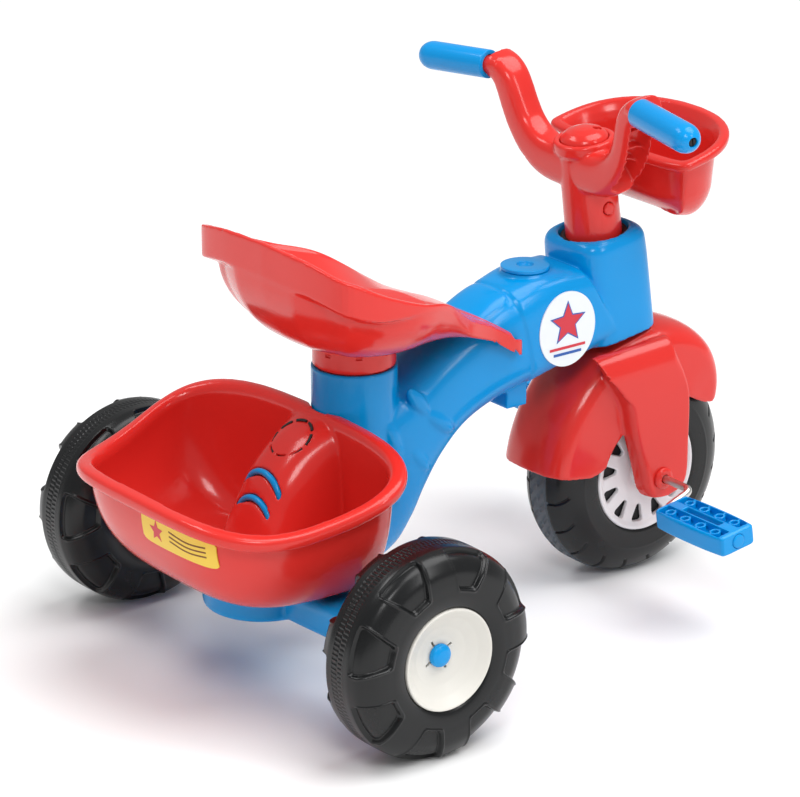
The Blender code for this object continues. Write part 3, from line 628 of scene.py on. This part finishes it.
def make_seat():
    rim = seat_rim(160)
    centre = np.array((0, -105, 345.0))
    hub = np.array((0, SOCKET_Y, 0.0))
    collar_r, collar_z = 39.6, 312
    drop = 7 + 24 * np.clip((rim[:, 1] + 85) / 70, 0, 1) + 10 * np.clip((-rim[:, 1] - 120) / 60, 0, 1)
    behind, outside = np.clip((rim[:, 1] + 80) / 60, 0, 1), np.clip((np.abs(rim[:, 0]) - 45) / 45, 0, 1)
    ledge = 0.14 * (behind * outside)[:, None]

    def dish(k):
        fall = 1 - (1 - k) ** 2
        ring = rim + (centre - rim) * k
        ring[:, 2] = rim[:, 2] + (centre[2] - rim[:, 2]) * fall
        return ring

    def disc(radius, z):
        flat = (rim - hub) * (1, 1, 0)
        ring = hub + flat / np.linalg.norm(flat, axis=1, keepdims=True) * radius
        ring[:, 2] = z
        return ring

    def under(inset, lowered):
        ring = rim + (disc(collar_r, 0) - rim) * (ledge + (1 - ledge) * inset)
        start = rim[:, 2] - drop
        ring[:, 2] = start + (collar_z - start) * lowered
        return ring

    lip = rim + (centre - rim) * (0.045, 0.045, 0)
    rings = [dish(k) for k in np.linspace(0.96, 0.07, 24)]
    rings += [lip, rim, rim - np.column_stack([0 * drop, 0 * drop, drop])]
    for a in np.linspace(4, 86, 18):
        t = math.radians(a)
        rings.append(under(0.01 + 0.9 * (1 - math.cos(t)), 0.98 * math.sin(t)))
    rings += [disc(collar_r, z) for z in (collar_z + 1, 288, 286.6)] + [disc(36, 286.6), disc(36, 240)]
    slot = box(38.2, 44, -3, 3, 301, 304.5)
    slots = [shifted(spun(slot, a), y=SOCKET_Y) for a in range(15, 375, 45)]
    seat = moulded("saddle", [loft(rings)], [spine(1.2, 0, 5)], voxel=1.3, smooth=9, late=slots)
    shown(seat, "red", "chassis", ("seat",))
    make_seat_patch(seat)


def make_seat_patch(seat):
    """A grained pad let into the dish, where the child sits."""
    xs, ys = superellipse(30, 34, 7, 60)
    rings = []
    for k in (1.0, 0.75, 0.5, 0.25, 0.05):
        ring = []
        for x, y in zip(xs * k, ys * k - 128):
            start = (Vector((x, y, 480)) + Vector(SHIFT)) * MM
            found, hit, _, _ = seat.ray_cast(start, (0, 0, -1))
            ring.append((x, y, hit.z / MM + 0.35 if found else 345.0))
        rings.append(ring)
    below = [(x, y, z - 1.2) for x, y, z in rings[0]]
    crisp("seat_pad", loft([below] + rings), "red_grain", "chassis")


# ---- rear tub


def basket_outline(inset, z_shift):
    """The tub's rim line, higher and squarer behind, moved in and up."""
    middle, half = (BASKET_REAR_Y + BASKET_FRONT_Y) / 2, (BASKET_REAR_Y - BASKET_FRONT_Y) / 2
    t = np.arange(TUB_SIDES) * TAU / TUB_SIDES
    n = np.where(np.sin(t) >= 0, 3.9, 3.1)
    a, s = power(np.cos(t), 2 / n), power(np.sin(t), 2 / n)
    width = 166.8 - 29.1 * s
    u = (s + 1) / 2
    ease = u * u * (3 - 2 * u)
    z = 247.6 - 36.6 * ease - 71.6 * u * (1 - u)
    return np.column_stack([a * (width - inset), middle + s * (half - inset), z + z_shift])


def basket_ring(k, inset, lift=0.0):
    """A ring of the tub's wall: k runs from 0 under the rim to 1 at the floor."""
    top = basket_outline(12 + inset, -14)
    x, y = superellipse(92 - inset, 68 - inset, 3.2, TUB_SIDES)
    floor = np.column_stack([x, 18 + y, np.full(TUB_SIDES, BASKET_FLOOR + lift)])
    angle = k * math.pi / 2
    across, down = 1 - math.cos(angle), math.sin(angle)
    return np.column_stack([top[:, :2] + (floor[:, :2] - top[:, :2]) * across,
                            top[:, 2] + (floor[:, 2] - top[:, 2]) * down])


def make_rear_basket():
    steps = np.linspace(1, 0, 20)
    skin = [basket_ring(k, 0) for k in steps]
    skin += [basket_outline(inset, z) for inset, z in
             ((9, -14), (2.5, -13.4), (0.8, -11.5), (0, -8), (0.2, -4), (1.4, -1.4), (4, 0), (8, 0.2))]
    inside = [basket_ring(k, WALL, WALL) for k in steps]
    inside += [basket_outline(inset, z) for inset, z in
               ((16, -9), (14.6, -4), (12.4, -1), (9.5, 4), (9.5, 12))]
    hollow = mesh_object("hollow", loft(inside))
    combined(hollow, [spine(7.6, 6, 12, 8.0, 0.8)], "DIFFERENCE")
    tub = mesh_object("tub", loft(skin))
    with_object(tub, hollow, "DIFFERENCE")
    combined(tub, [spine(1.8, 6, 12), shifted(rod(SOCKET_R + 1, 150, 300), y=SOCKET_Y)]
             + [staple(name, 2, 0.8) for name in CLIPS], "DIFFERENCE")
    soften(tub, 1.5, 8)
    combined(tub, dashes(-9, 12), "DIFFERENCE")
    crisp("ring_shade", joined(dashes(-9.5, -3.2)), "dark", "chassis")
    shown(tub, "red", "chassis", ("rear_basket",))


def dashes(low, high):
    """Short curved slots that make a broken ring on the hump's top."""
    tilt = Matrix.Translation((0, -20, 229)) @ Matrix.Rotation(math.radians(-40), 4, "X")
    made = []
    outer_r, inner_r = 22.8, 20.4
    for start in range(0, 360, 45):
        t = np.radians(np.linspace(start, start + 33, 8))
        outer = np.column_stack([outer_r * np.cos(t), outer_r * np.sin(t)])
        inner = np.column_stack([inner_r * np.cos(t), inner_r * np.sin(t)])[::-1]
        ring = np.vstack([outer, inner])
        solid = loft([np.column_stack([ring, np.full(len(ring), h)]) for h in (low, high)])
        made.append(moved(solid, tilt))
    return made


def label_point(a, b, offset):
    """A point a across and b up the sticker, off the tub's rear wall."""
    ring = basket_ring(max(0.005, 0.115 - 0.0078 * b), -offset)
    behind = ring[ring[:, 1] > 60]
    behind = behind[np.argsort(behind[:, 0])]
    return [np.interp(a - 50, behind[:, 0], behind[:, k]) for k in range(3)]


def label_strip(a_values, low, high, offset, thick):
    """A plate on the rear wall between two height functions of a."""
    rings = []
    for a in a_values:
        heights = np.linspace(low(a), high(a), 7)
        rings.append([label_point(a, b, offset) for b in heights]
                     + [label_point(a, b, offset + thick) for b in heights[::-1]])
    return loft(rings)


def wavy(middle, step):
    """A height function for label_strip: a slow wave about a height, moved by a step."""
    return lambda a: middle + 1.6 * math.sin(a / 11) + step


def make_label():
    def half(a):
        return max(10.0, 14.5 * (1 - min(1.0, abs(a / 51)) ** 7) ** (1 / 7))

    ends = 51 * np.sin(np.linspace(-math.pi / 2, math.pi / 2, 61))
    plate = label_strip(ends, lambda a: -half(a), half, 0.4, 0.7)
    crisp("tub_sticker", plate, "label", "chassis", ("rear_label",))
    for k, middle in enumerate((4.5, 0.0, -4.5)):
        stripe = label_strip(np.linspace(-40, 8, 41), wavy(middle, -0.7), wavy(middle, 0.7), 0.7, 0.65)
        crisp(f"sticker_stripe_{k}", stripe, "ink_brown", "chassis")
    spots = star((28.0, 0.0), 10.5)
    layers = [[label_point(a, b, offset) for a, b in spots] for offset in (0.7, 1.35)]
    crisp("sticker_star", loft(layers), "ink_red", "chassis")


# ---- wheels


def step_in(value, low, high):
    t = np.clip((value - low) / (high - low), 0, 1)
    return t * t * (3 - 2 * t)


def gap_to(turn, count, phase):
    """Signed angle from the nearest of count evenly spaced marks, in degrees."""
    pitch = 360.0 / count
    return (np.degrees(turn) - phase + pitch / 2) % pitch - pitch / 2


def rear_relief(turn, r, h):
    """Pockets in both shoulders and two rows of fine ribs on the tread."""
    move = np.zeros(np.broadcast(turn, r).shape)
    for side, phase in ((1, 28.5), (-1, 6.0)):
        away = np.abs(gap_to(turn, 8, phase))
        spread = 8.5 + (r - 66) * 0.17
        inside = -np.log(np.exp(-(r - 66) * 0.6) + np.exp(-(h * side - 15.5) * 0.6)
                         + np.exp(-(spread - away) * r * math.radians(1) * 0.6)) / 0.6
        inside = np.where(h * side > 5, inside, -9)
        move -= 4.0 * step_in(inside, 0.0, 1.9) * (r > 55)
        move += 0.9 * np.exp(-((inside + 1.1) / 0.9) ** 2) * (r > 55) * step_in(98.5 - r, 0, 2)
    ribs = np.cos(turn * 144 + np.where(h > 0, 0, math.pi))
    row = step_in(7.6 - np.abs(h), 0, 0.8) * step_in(np.abs(h), 0.4, 1.0)
    move -= 0.55 * row * (ribs > 0) * (r > 90)
    move -= 0.7 * step_in(0.7 - np.abs(h), 0, 0.5) * (r > 90)
    return move


def front_relief(turn, r, h):
    """Slanted marks on the tread band, a groove at its edges and cuts in the shoulders."""
    move = np.zeros(np.broadcast(turn, r).shape)
    slant = np.degrees(turn) + np.abs(h) * 0.55 * np.sign(h)
    marks = np.cos(np.radians(slant) * 48)
    band = step_in(10.5 - np.abs(h), 0, 1)
    move -= 1.1 * step_in(marks, 0.1, 0.5) * band * step_in(np.abs(h), 1.2, 2.0) * (r > 100)
    move -= 1.0 * step_in(0.9 - np.abs(np.abs(h) - 12.4), 0, 0.5) * (r > 100)
    for side, phase in ((1, 0.0), (-1, 9.0)):
        bend = phase + (109 - r) ** 2 * 0.018
        away = np.abs(gap_to(turn, 20, bend)) * r * math.radians(1)
        reach = step_in(r, 94, 95.5) * step_in(h * side, 12.5, 13.5)
        move -= 2.2 * step_in(1.9 - away, 0, 0.9) * reach
        ring = np.exp(-((r - 80) / 0.8) ** 2) * (h * side > 30)
        move += 0.5 * ring
    return move


def tyre_solid(outer, inner, segments, relief, samples):
    """outer runs from one side's face over the tread to the other's; inner closes the loop."""
    line = smooth_curve(outer, samples)
    return revolve(np.vstack([line, rounded_line(inner, 0.6)]), segments, relief)


def make_rear_wheels():
    half = [(100, 0), (99.9, 9), (99.2, 17), (95, 26.5), (84.5, 33.3), (73, 35.6), (62, 36)]
    outer = [(r, -h) for r, h in half[:0:-1]] + half
    inner = [(52, 35.4), (49, 33.5), (49, 13), (14.2, 13), (14.2, -20), (30, -22), (44, -30),
             (52, -34.5)]
    disc = [(8.8, 13.3), (44, 13.3), (48.4, 20), (48.4, 34.6), (47.4, 35.8), (45.8, 35.2),
            (38, 28.0), (28, 22), (18, 18.9), (8.8, 18.4)]
    cap = [(0, 14), (8.4, 14), (8.4, 18.9), (11, 18.9), (11, 21.8), (9.8, 24.2), (6, 25.9), (0, 26.5)]
    bush = [(4.3, -26), (18, -26), (18, -22.8), (13.9, -22.8), (13.9, 12.6), (4.3, 12.6)]
    for name, side in SIDES.items():
        body = f"rear_wheel_{name}"
        spot = (side * HALF_TRACK, 0, REAR_AXLE_Z)
        tyre = along_x(tyre_solid(outer, inner, 1008, rear_relief, 190), *spot, side)
        crisp(f"tyre_rear_{name}", tyre, "tyre", body, (f"rear_tyre_{name}",), 60)
        dish = mesh_object(f"disc_{name}", along_x(ring_of(disc, 144, 1.2), *spot, side))
        slit = box(8.9, 16.5, -1.2, 1.2, 10, 22)
        slits = [along_x(spun(slit, a), *spot, side) for a in (29, 119, 209, 299)]
        combined(dish, slits, "DIFFERENCE")
        shown(dish, "disc", body, (f"rear_disc_{name}",))
        dish.data.set_sharp_from_angle(angle=math.radians(35))
        # A dark sheet inside the disc, seen only at the bottom of the slits: painted shade in the slits.
        slit_shade = ring_of([(8.0, 13.6), (30, 13.6), (30, 14.2), (8.0, 14.2)], 64, 0.1)
        crisp(f"disc_slit_shade_{name}", along_x(slit_shade, *spot, side), "dark", body)
        fittings = (("cap", turned(cap, 64, 0.8), "blue"), ("bush", ring_of(bush, 64), "grey"))
        for kind, solid, colour in fittings:
            crisp(f"hub_{kind}_{name}", along_x(solid, *spot, side), colour, body,
                  (f"rear_{kind}_{name}",))


def rim_windows():
    made = []
    corners = [(35.5, -2.4), (51.5, -7.2), (53.5, -5.6), (53.5, 5.6), (51.5, 7.2), (35.5, 2.4)]
    outline = rounded_line(corners, 2.2, 4, closed=True)
    for k in range(12):
        t = math.radians(8.8 + 30 * k)
        turn = Matrix.Rotation(t, 4, "X")
        solid = loft([np.column_stack([np.full(len(outline), x), outline]) for x in (22, 44)])
        made.append(moved(solid, turn))
    return made


def make_front_wheel():
    half = [(110.3, 0), (110.1, 7), (109.4, 13), (104, 23.5), (94, 31.8), (82, 36.3), (72, 37),
            (64, 36.8)]
    outer = [(r, -h) for r, h in half[:0:-1]] + half
    inner = [(61.8, 35.6), (61.8, 28.3), (57.8, 28.3), (57.8, -28.3), (61.8, -28.3), (61.8, -35.6)]
    tyre = along_x(tyre_solid(outer, inner, 1080, front_relief, 110), *FRONT_HUB)
    paint_band(crisp("tyre_front", tyre, "tyre", "front_wheel", ("front_tyre",), 60))
    rim = [(4.3, 0.2), (14, 0.2), (14, 28.6), (54.6, 28.6), (54.6, 0.2), (57.5, 0.2), (57.5, 28.6),
           (61.4, 28.6), (61.4, 36.6), (59.6, 37.6), (57, 36.6), (54.5, 34.4), (36, 33.4), (18, 34),
           (15.5, 36), (14, 41), (4.3, 41)]
    quarter = Matrix.Rotation(math.radians(90), 4, "Y")
    for name, side in SIDES.items():
        wheel = both(moved(ring_of(rim, 144, 1.0), quarter), side)
        windows = [shifted(both(w, side), *FRONT_HUB) for w in rim_windows()]
        obj = moulded(f"rim_{name}", [shifted(wheel, *FRONT_HUB)], windows, voxel=0.9, smooth=4)
        shown(obj, "rim", "front_wheel", (f"front_rim_{name}",))
        low, high = sorted((side * 27.4, side * 28.2))
        shade = ring_of([(14.6, 0), (54.0, 0), (54.0, high - low), (14.6, high - low)], 96, 0.1)
        shade = moved(shade, Matrix.Translation((low, 0, 0)) @ quarter)
        crisp(f"rim_shade_{name}", shifted(shade, *FRONT_HUB), "dark", "front_wheel")
    make_crank()


def paint_band(obj):
    """Gives the tread's middle band its paler plastic."""
    obj.data.materials.append(MATERIALS["tread"])
    centre = Vector(FRONT_HUB)
    half_band, least_r = 12.2, 100
    for face in obj.data.polygons:
        spot = (face.center / MM - Vector(SHIFT)) - centre
        if abs(spot.x) < half_band and spot.yz.length > least_r:
            face.material_index = 1


def make_crank():
    back, down, arm, end = CRANK_BACK, CRANK_DOWN, 104, 208
    corners = [(-end, back, -down), (-arm, back, -down), (-arm, 0, 0), (arm, 0, 0), (arm, -back, down),
               (end, -back, down)]
    path = rounded_line(corners, 9, 10) + FRONT_HUB
    crisp("crank_rod", tube(path, 3.95, 24), "steel", "front_wheel", ("crank",))


# ---- pedals


def make_pedals():
    tilt = Matrix.Rotation(math.radians(-8), 4, "X")
    for name, side in SIDES.items():
        y0, z0 = FRONT_HUB[1] - side * CRANK_BACK, FRONT_HUB[2] + side * CRANK_DOWN
        place = Matrix.Translation((0, y0, z0)) @ tilt @ Matrix.Diagonal((side, 1, 1, 1))
        rings = []
        for x in np.linspace(112, 210, 40):
            end = min(x - 112, 210 - x)
            soft = 1.6 * max(0.0, 1 - end / 2.0) ** 2
            bow = 23 - 2.6 * abs((x - 161) / 49) ** 2.4
            y, z = superellipse(bow - soft, 10.7 - soft, 9, 64)
            rings.append(np.column_stack([np.full(64, x), y, z]))
        cuts = [box(116, 204, a, b, low, high) for low, high in ((2.2, 14), (-14, -2.2))
                for a, b in ((-19.4, -5.6), (5.6, 19.4))]
        cuts += [box(134, 186, -3.6, 3.6, -14, 14), along_x(rod(4.35, 105, 216, 32)),
                 along_x(rod(7.3, 204, 216, 48))]
        spots = [(x, y) for x in (127, 148, 170, 191) for y in (-12.5, 12.5)]
        pegs = [shifted(rod(5.6, -9.6, 9.6, 40), *spot) for spot in spots]
        holes = [shifted(rod(3.4, low, high, 32), *spot) for spot in spots
                 for low, high in ((3, 12), (-12, -3))]
        base = mesh_object(f"pedal_block_{name}", moved(loft(rings), place))
        for solids, operation in ((cuts, "DIFFERENCE"), (pegs, "UNION"), (holes, "DIFFERENCE")):
            combined(base, [moved(solid, place) for solid in solids], operation)
        soften(base, 0.75, 3)
        shown(base, "blue", f"pedal_{name}", (f"pedal_{name}",))
        cap = turned([(0, 208.4), (7, 208.4), (7, 210.4), (5.4, 211.2), (0, 211.2)], 48, 0.6)
        cap = moved(along_x(cap), Matrix.Translation((0, y0, z0)) @ Matrix.Diagonal((side, 1, 1, 1)))
        crisp(f"pedal_plug_{name}", cap, "blue", f"pedal_{name}", (f"pedal_cap_{name}",))


# ---- fork


def hood(inset, first=0.0, last=0.0):
    rows = smooth_curve(HOOD, 60)
    rows[0, 0] -= first
    rows[-1, 0] += last
    s = np.cos(np.linspace(0, math.pi, 49))
    drop = 24 * (1 - (1 - np.abs(s) ** 2.4) ** (1 / 2.4))
    rings = []
    for angle, radius, half_width in rows:
        t = math.radians(angle)
        half_width -= inset
        spots = np.vstack([np.column_stack([half_width * s, radius - inset - drop]),
                           [(-half_width, 62 - 3 * inset), (half_width, 62 - 3 * inset)]])
        rings.append(np.column_stack([spots[:, 0], FRONT_HUB[1] + spots[:, 1] * math.cos(t),
                                      FRONT_HUB[2] + spots[:, 1] * math.sin(t)]))
    return loft(rings)


def skirt_cutter():
    """What lies below the hood's skirt edge."""
    edge = smooth_curve([(-600, 166), (-532, 168), (-505, 167), (-466, 184), (-440, 178), (-410, 174),
                         (-399, 162), (-386, 146), (-374, 132), (-361, 125), (-340, 122), (-310, 122),
                         (-240, 124)], 80)
    return prism(np.vstack([edge, [(-240, 20), (-600, 20)]]), -80, 80)


def blade(side):
    """A tapering plate, its rear edge bevelled back from the outer face."""
    rear = smooth_curve([(-352, 248), (-360, 240), (-374, 216), (-388, 192), (-394, 165), (-406, 126),
                         (-413, 101), (-420, 90)], 40)
    front = smooth_curve([(-440, 89), (-456, 95), (-463, 108), (-464, 140), (-464, 188), (-457, 222),
                          (-444, 252)], 40)
    outline = np.vstack([rear, front])
    rings = []
    for t in np.linspace(0, math.pi / 2, 16):
        x, inset = 42.5 + 19.3 * math.sin(t), -3 + 7.4 * (1 - math.cos(t))
        height = 0.5 + 0.5 * math.cos(t)
        ring = outline.copy()
        ring[:40, 0] -= inset
        ring[40:, 0] += 0.4 * inset
        ring[:, 1] = np.where(ring[:, 1] > 195, 195 + (ring[:, 1] - 195) * height, ring[:, 1])
        rings.append(np.column_stack([np.full(len(ring), side * x), ring]))
    return loft(rings)


def make_fork():
    shell = mesh_object("fork_shell", hood(0))
    combined(shell, [hood(3.6, 4, 4), skirt_cutter()], "DIFFERENCE")
    crown = prism([(-374, 226), (-440, 232), (-436, 259), (-376, 243)], -36, 36)
    stem = steered(rod(28, -128, -22.2))
    spigot = steered(rod(21.8, -30, 60))
    tab = steered(box(-13, 13, -47, -30, -130, -117))
    axle_hole = along_x(rod(4.4, -80, 80, 32), *FRONT_HUB)
    button_hole = steered(along_x(rod(7.4, -40, -6, 32), 0, 0, SNAP_HEIGHT))
    combined(shell, [blade(1), blade(-1), crown, stem, spigot], "UNION")
    combined(shell, [axle_hole, button_hole], "DIFFERENCE")
    combined(shell, [tab], "UNION")
    soften(shell, 1.3, 9)
    shown(shell, "red", "steering", ("fork",))
    for name, side in SIDES.items():
        ring = ring_of([(4.4, 61.9), (11, 61.9), (11, 64.6), (8.6, 66.2), (4.4, 66.2)], 64, 0.8)
        crisp(f"rod_collar_{name}", along_x(ring, *FRONT_HUB, side), "red", "steering",
              (f"axle_collar_{name}",))


# ---- handlebar


def arm(side, trim=0.0, first=0.0, last=1.0, lower=0.0):
    """The swept arm between two fractions of its length; lower slides it to its outer side."""
    rows = smooth_curve(ARM, 61)
    rows = rows[int(round(first * 60)):int(round(last * 60)) + 1]
    rings = []
    for i, (x, z, half) in enumerate(rows):
        a, b = rows[max(i - 1, 0)], rows[min(i + 1, len(rows) - 1)]
        ahead = np.array((b[0] - a[0], 0, b[1] - a[1]))
        ahead /= np.linalg.norm(ahead)
        across = np.array((-ahead[2], 0, ahead[0]))
        w, d = superellipse(half - trim, ARM_HALF_DEPTH - trim, 2.9, 48)
        centre = np.array((x, ARM_Y, z)) - across * lower
        rings.append(centre + w[:, None] * across + d[:, None] * np.array((0, 1, 0)))
    return both(loft(rings), side)


def grip_frame():
    turn = (GRIP_OUT - GRIP_IN).to_track_quat("Z", "Y").to_matrix().to_4x4()
    return Matrix.Translation(GRIP_IN) @ turn


def make_handlebar():
    column = [(0, -21.7), (28, -21.7), (26.6, 72), (30.6, 75.4), (30.6, 84.5), (29, 86.5), (0, 86.5)]
    solids = [turned(column, 96, 1.4)]
    cuts = [rod(22.2, -40, 83), rod(24, 80.2, 130), along_x(rod(6.4, -40, -10, 32), 0, 0, SNAP_HEIGHT)]
    for side in SIDES.values():
        solids.append(arm(side))
        solids.append(both(moved(rod(9, -12, 70, 32), grip_frame()), side))
        cuts.append(arm(side, 2.8, 0.33, 0.87, 12.0))
        for first, last in ((0.33, 0.45), (0.47, 0.58), (0.60, 0.72), (0.74, 0.87)):
            cuts.append(arm(side, 3.2, first, last, 3.0))
    bar = moulded("bar", [steered(s) for s in solids], [steered(c) for c in cuts], voxel=1.2, smooth=6)
    shown(bar, "red", "steering", ("handlebar",))
    dome = [(0, 76), (21.9, 76), (21.9, 80.3), (23.5, 80.6), (23.5, 86.6), (21.5, 90), (17, 93.4),
            (9, 95.8), (0, 96.5)]
    cap = mesh_object("column_cap", steered(turned(dome, 96, 1.0)))
    combined(cap, [steered(shifted(rod(4.3, 88.5, 110, 40), *CAP_SCREW))], "DIFFERENCE")
    soften(cap, 0.7, 3)
    shown(cap, "red", "steering", ("stem_cap",))
    shank = turned([(0, 80.4), (3.4, 80.4), (3.4, 91.6), (2.6, 92.4), (0, 92.4)], 40, 0.4)
    screw = mesh_object("cap_screw", steered(shifted(shank, *CAP_SCREW)))
    slot = shifted(box(-2.6, 2.6, -0.45, 0.45, 91.4, 95), *CAP_SCREW)
    combined(screw, [steered(slot)], "DIFFERENCE")
    shown(screw, "red", "steering", ("stem_cap_screw",))
    screw.data.set_sharp_from_angle(angle=math.radians(35))
    button = turned([(0, 15), (6, 15), (6, 27.4), (5.2, 28.3), (0, 28.6)], 48, 0.6)
    button = steered(along_x(button, 0, 0, SNAP_HEIGHT, -1))
    crisp("snap_button", button, "red", "lock_button", ("lock_button",))
    length = (GRIP_OUT - GRIP_IN).length
    grip = [(9.4, 2.6), (14.2, 2.6), (14.3, length - 2), (13.9, length + 2), (12.8, length + 5.6),
            (10.6, length + 9.4), (7.4, length + 12.2), (5.2, length + 13.2), (4.6, length + 12.8),
            (4.6, length + 8), (3.4, length + 8), (3.4, 74), (9.4, 74)]
    pin = [(0, 75), (3.1, 75), (3.1, length + 8.4), (4.3, length + 8.4), (4.3, length + 11.2),
           (3.4, length + 11.9), (0, length + 12)]
    for name, side in SIDES.items():
        slot = box(-0.6, 0.6, -4.5, 4.5, length + 10.6, length + 14)
        sleeve, shank, slot = (steered(both(moved(solid, grip_frame()), side))
                               for solid in (ring_of(grip, 96, 1.2), turned(pin, 40, 0.3), slot))
        crisp(f"grip_sleeve_{name}", sleeve, "blue", "steering", (f"grip_{name}",))
        head = mesh_object(f"grip_pin_{name}", shank)
        combined(head, [slot], "DIFFERENCE")
        shown(head, "dark", "steering", (f"grip_screw_{name}",))
        head.data.set_sharp_from_angle(angle=math.radians(35))


# ---- front basket


def pod_ring(inset, z, dip=0.0):
    """A D-shaped ring, nearly straight behind and round in front; dip lowers its front."""
    t = np.arange(144) * TAU / 144
    c, s = np.cos(t), np.sin(t)
    n = np.where(s < 0, 2.3, 5)
    depth = np.where(s < 0, POD_DEPTH - 24 - inset, 24 - inset)
    y = POD_BACK_Y - 24 + power(s, 2 / n) * depth
    fall = dip * step_in(-y, -POD_BACK_Y + 8, -POD_BACK_Y + 52)
    lift = POD_TILT * (POD_BACK_Y - 24 - y) * (z - POD_FLOOR) / (POD_RIM_Z - POD_FLOOR)
    return np.column_stack([power(c, 2 / n) * (POD_HALF_WIDTH - inset), y, z - fall + lift])


def make_front_basket():
    skin, inside = [], []
    for a in range(0, 91, 10):
        t = math.radians(a)
        level, rise, dip = 1 - math.sin(t), 1 - math.cos(t), 9 * math.cos(t)
        skin.append(pod_ring(15 + 26 * level, POD_FLOOR + 24 * rise, dip))
        inside.append(pod_ring(18.5 + 24 * level, POD_FLOOR + 3.6 + 23 * rise, dip))
    skin += [pod_ring(inset, POD_RIM_Z + z) for inset, z in
             ((12.5, -14), (11, -9.6), (3, -9), (1, -8.0), (0, -5.0), (0.3, -2.2), (1.6, -0.5),
              (4, 0.1), (7, 0.1))]
    inside += [pod_ring(inset, POD_RIM_Z + z) for inset, z in
               ((16.2, -14), (13.8, -7), (11.4, -3), (9.0, 0.4), (8.4, 6))]
    pod = mesh_object("pod", loft(skin))
    cuts = [rod(31.5, -20, 110)] + [arm(side, -0.8) for side in SIDES.values()]
    combined(pod, [loft(inside)] + [steered(cut) for cut in cuts], "DIFFERENCE")
    soften(pod, 1.3, 7)
    shown(pod, "red", "steering", ("front_basket",))


# ---- what stays, camera and light

CAMERA_PLACE = (-2.737896, 1.956723 + SHIFT[1] * MM, 1.486734)
CAMERA_YAW, CAMERA_PITCH = 0.915137, 0.346930
LENS, SENSOR = 174.23, 36.0
FLOOR_REACH, FLOOR_GAP, FLOOR_COLOUR = 14.0, 0.0005, (0.9, 0.9, 0.9)
WORLD_STRENGTH = 0.42
SKY_STRENGTH, SKY_SPREAD, SKY_TILT = 2.4, 50, (18, -14, 0)
# Name, place, target, size and power of each area light, in metres and watts
AREA_LIGHTS = (
    ("key", (-1.5, 1.2, 1.9), (0, -0.05, 0.25), (0.7, 0.7), 16),
    ("side", (-2.2, -0.6, 1.5), (0, -0.1, 0.25), (0.3, 1.2), 9),
    ("back", (0.9, 0.9, 2.2), (0, 0, 0.25), (1.2, 0.5), 12),
)


def dress_nodes(nodes):
    """Steel for the nuts, which keep their own shape."""
    for name, obj in nodes.items():
        if name.startswith(("axle_nut", "pedal_nut")):
            for slot in obj.material_slots:
                slot.material = MATERIALS["steel"]


def make_camera():
    yaw, pitch = CAMERA_YAW, CAMERA_PITCH
    camera = bpy.data.cameras.new("camera")
    camera.lens = LENS
    camera.sensor_width = SENSOR
    camera.clip_end = 60.0
    obj = linked("camera", camera)
    ahead = Vector((math.cos(pitch) * math.sin(yaw), -math.cos(pitch) * math.cos(yaw), -math.sin(pitch)))
    right = Vector((-math.cos(yaw), -math.sin(yaw), 0))
    up = right.cross(ahead)
    turn = Matrix((right, up, -ahead)).transposed().to_4x4()
    obj.matrix_world = Matrix.Translation(CAMERA_PLACE) @ turn
    bpy.context.scene.camera = obj


def area(name, place, target, size, watts):
    """A rectangular light facing its target."""
    light = bpy.data.lights.new(name, "AREA")
    light.shape = "RECTANGLE"
    light.size, light.size_y = size
    light.energy = watts
    obj = linked(name, light)
    obj.location = place
    obj.rotation_euler = (Vector(target) - Vector(place)).to_track_quat("-Z", "Y").to_euler()


def make_floor():
    corners = [(x * FLOOR_REACH, y * FLOOR_REACH, 0) for x, y in ((-1, -1), (1, -1), (1, 1), (-1, 1))]
    mesh = bpy.data.meshes.new("floor")
    mesh.from_pydata(corners, [], [(0, 1, 2, 3)])
    floor = linked("floor", mesh)
    floor.location.z = -FLOOR_GAP
    pale = bpy.data.materials.new("floor")
    pale.use_nodes = True
    shader = pale.node_tree.nodes["Principled BSDF"]
    shader.inputs["Base Color"].default_value = (*FLOOR_COLOUR, 1)
    shader.inputs["Roughness"].default_value = 0.8
    mesh.materials.append(pale)


def make_stage():
    make_floor()
    world = bpy.data.worlds.new("studio")
    world.use_nodes = True
    backdrop = world.node_tree.nodes["Background"]
    backdrop.inputs["Color"].default_value = (1, 1, 1, 1)
    backdrop.inputs["Strength"].default_value = WORLD_STRENGTH
    bpy.context.scene.world = world
    sky = bpy.data.lights.new("overhead", "SUN")
    sky.energy = SKY_STRENGTH
    sky.angle = math.radians(SKY_SPREAD)
    linked("overhead", sky).rotation_euler = [math.radians(a) for a in SKY_TILT]
    for light in AREA_LIGHTS:
        area(*light)
    bpy.context.scene.view_settings.view_transform = "Standard"


def main():
    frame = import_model()
    make_materials()
    make_camera()
    make_stage()
    make_frame()
    make_badges()
    make_fittings()
    make_seat()
    make_rear_basket()
    make_label()
    make_rear_wheels()
    make_front_wheel()
    make_pedals()
    make_fork()
    make_handlebar()
    make_front_basket()
    dress_nodes(frame["nodes"])


main()
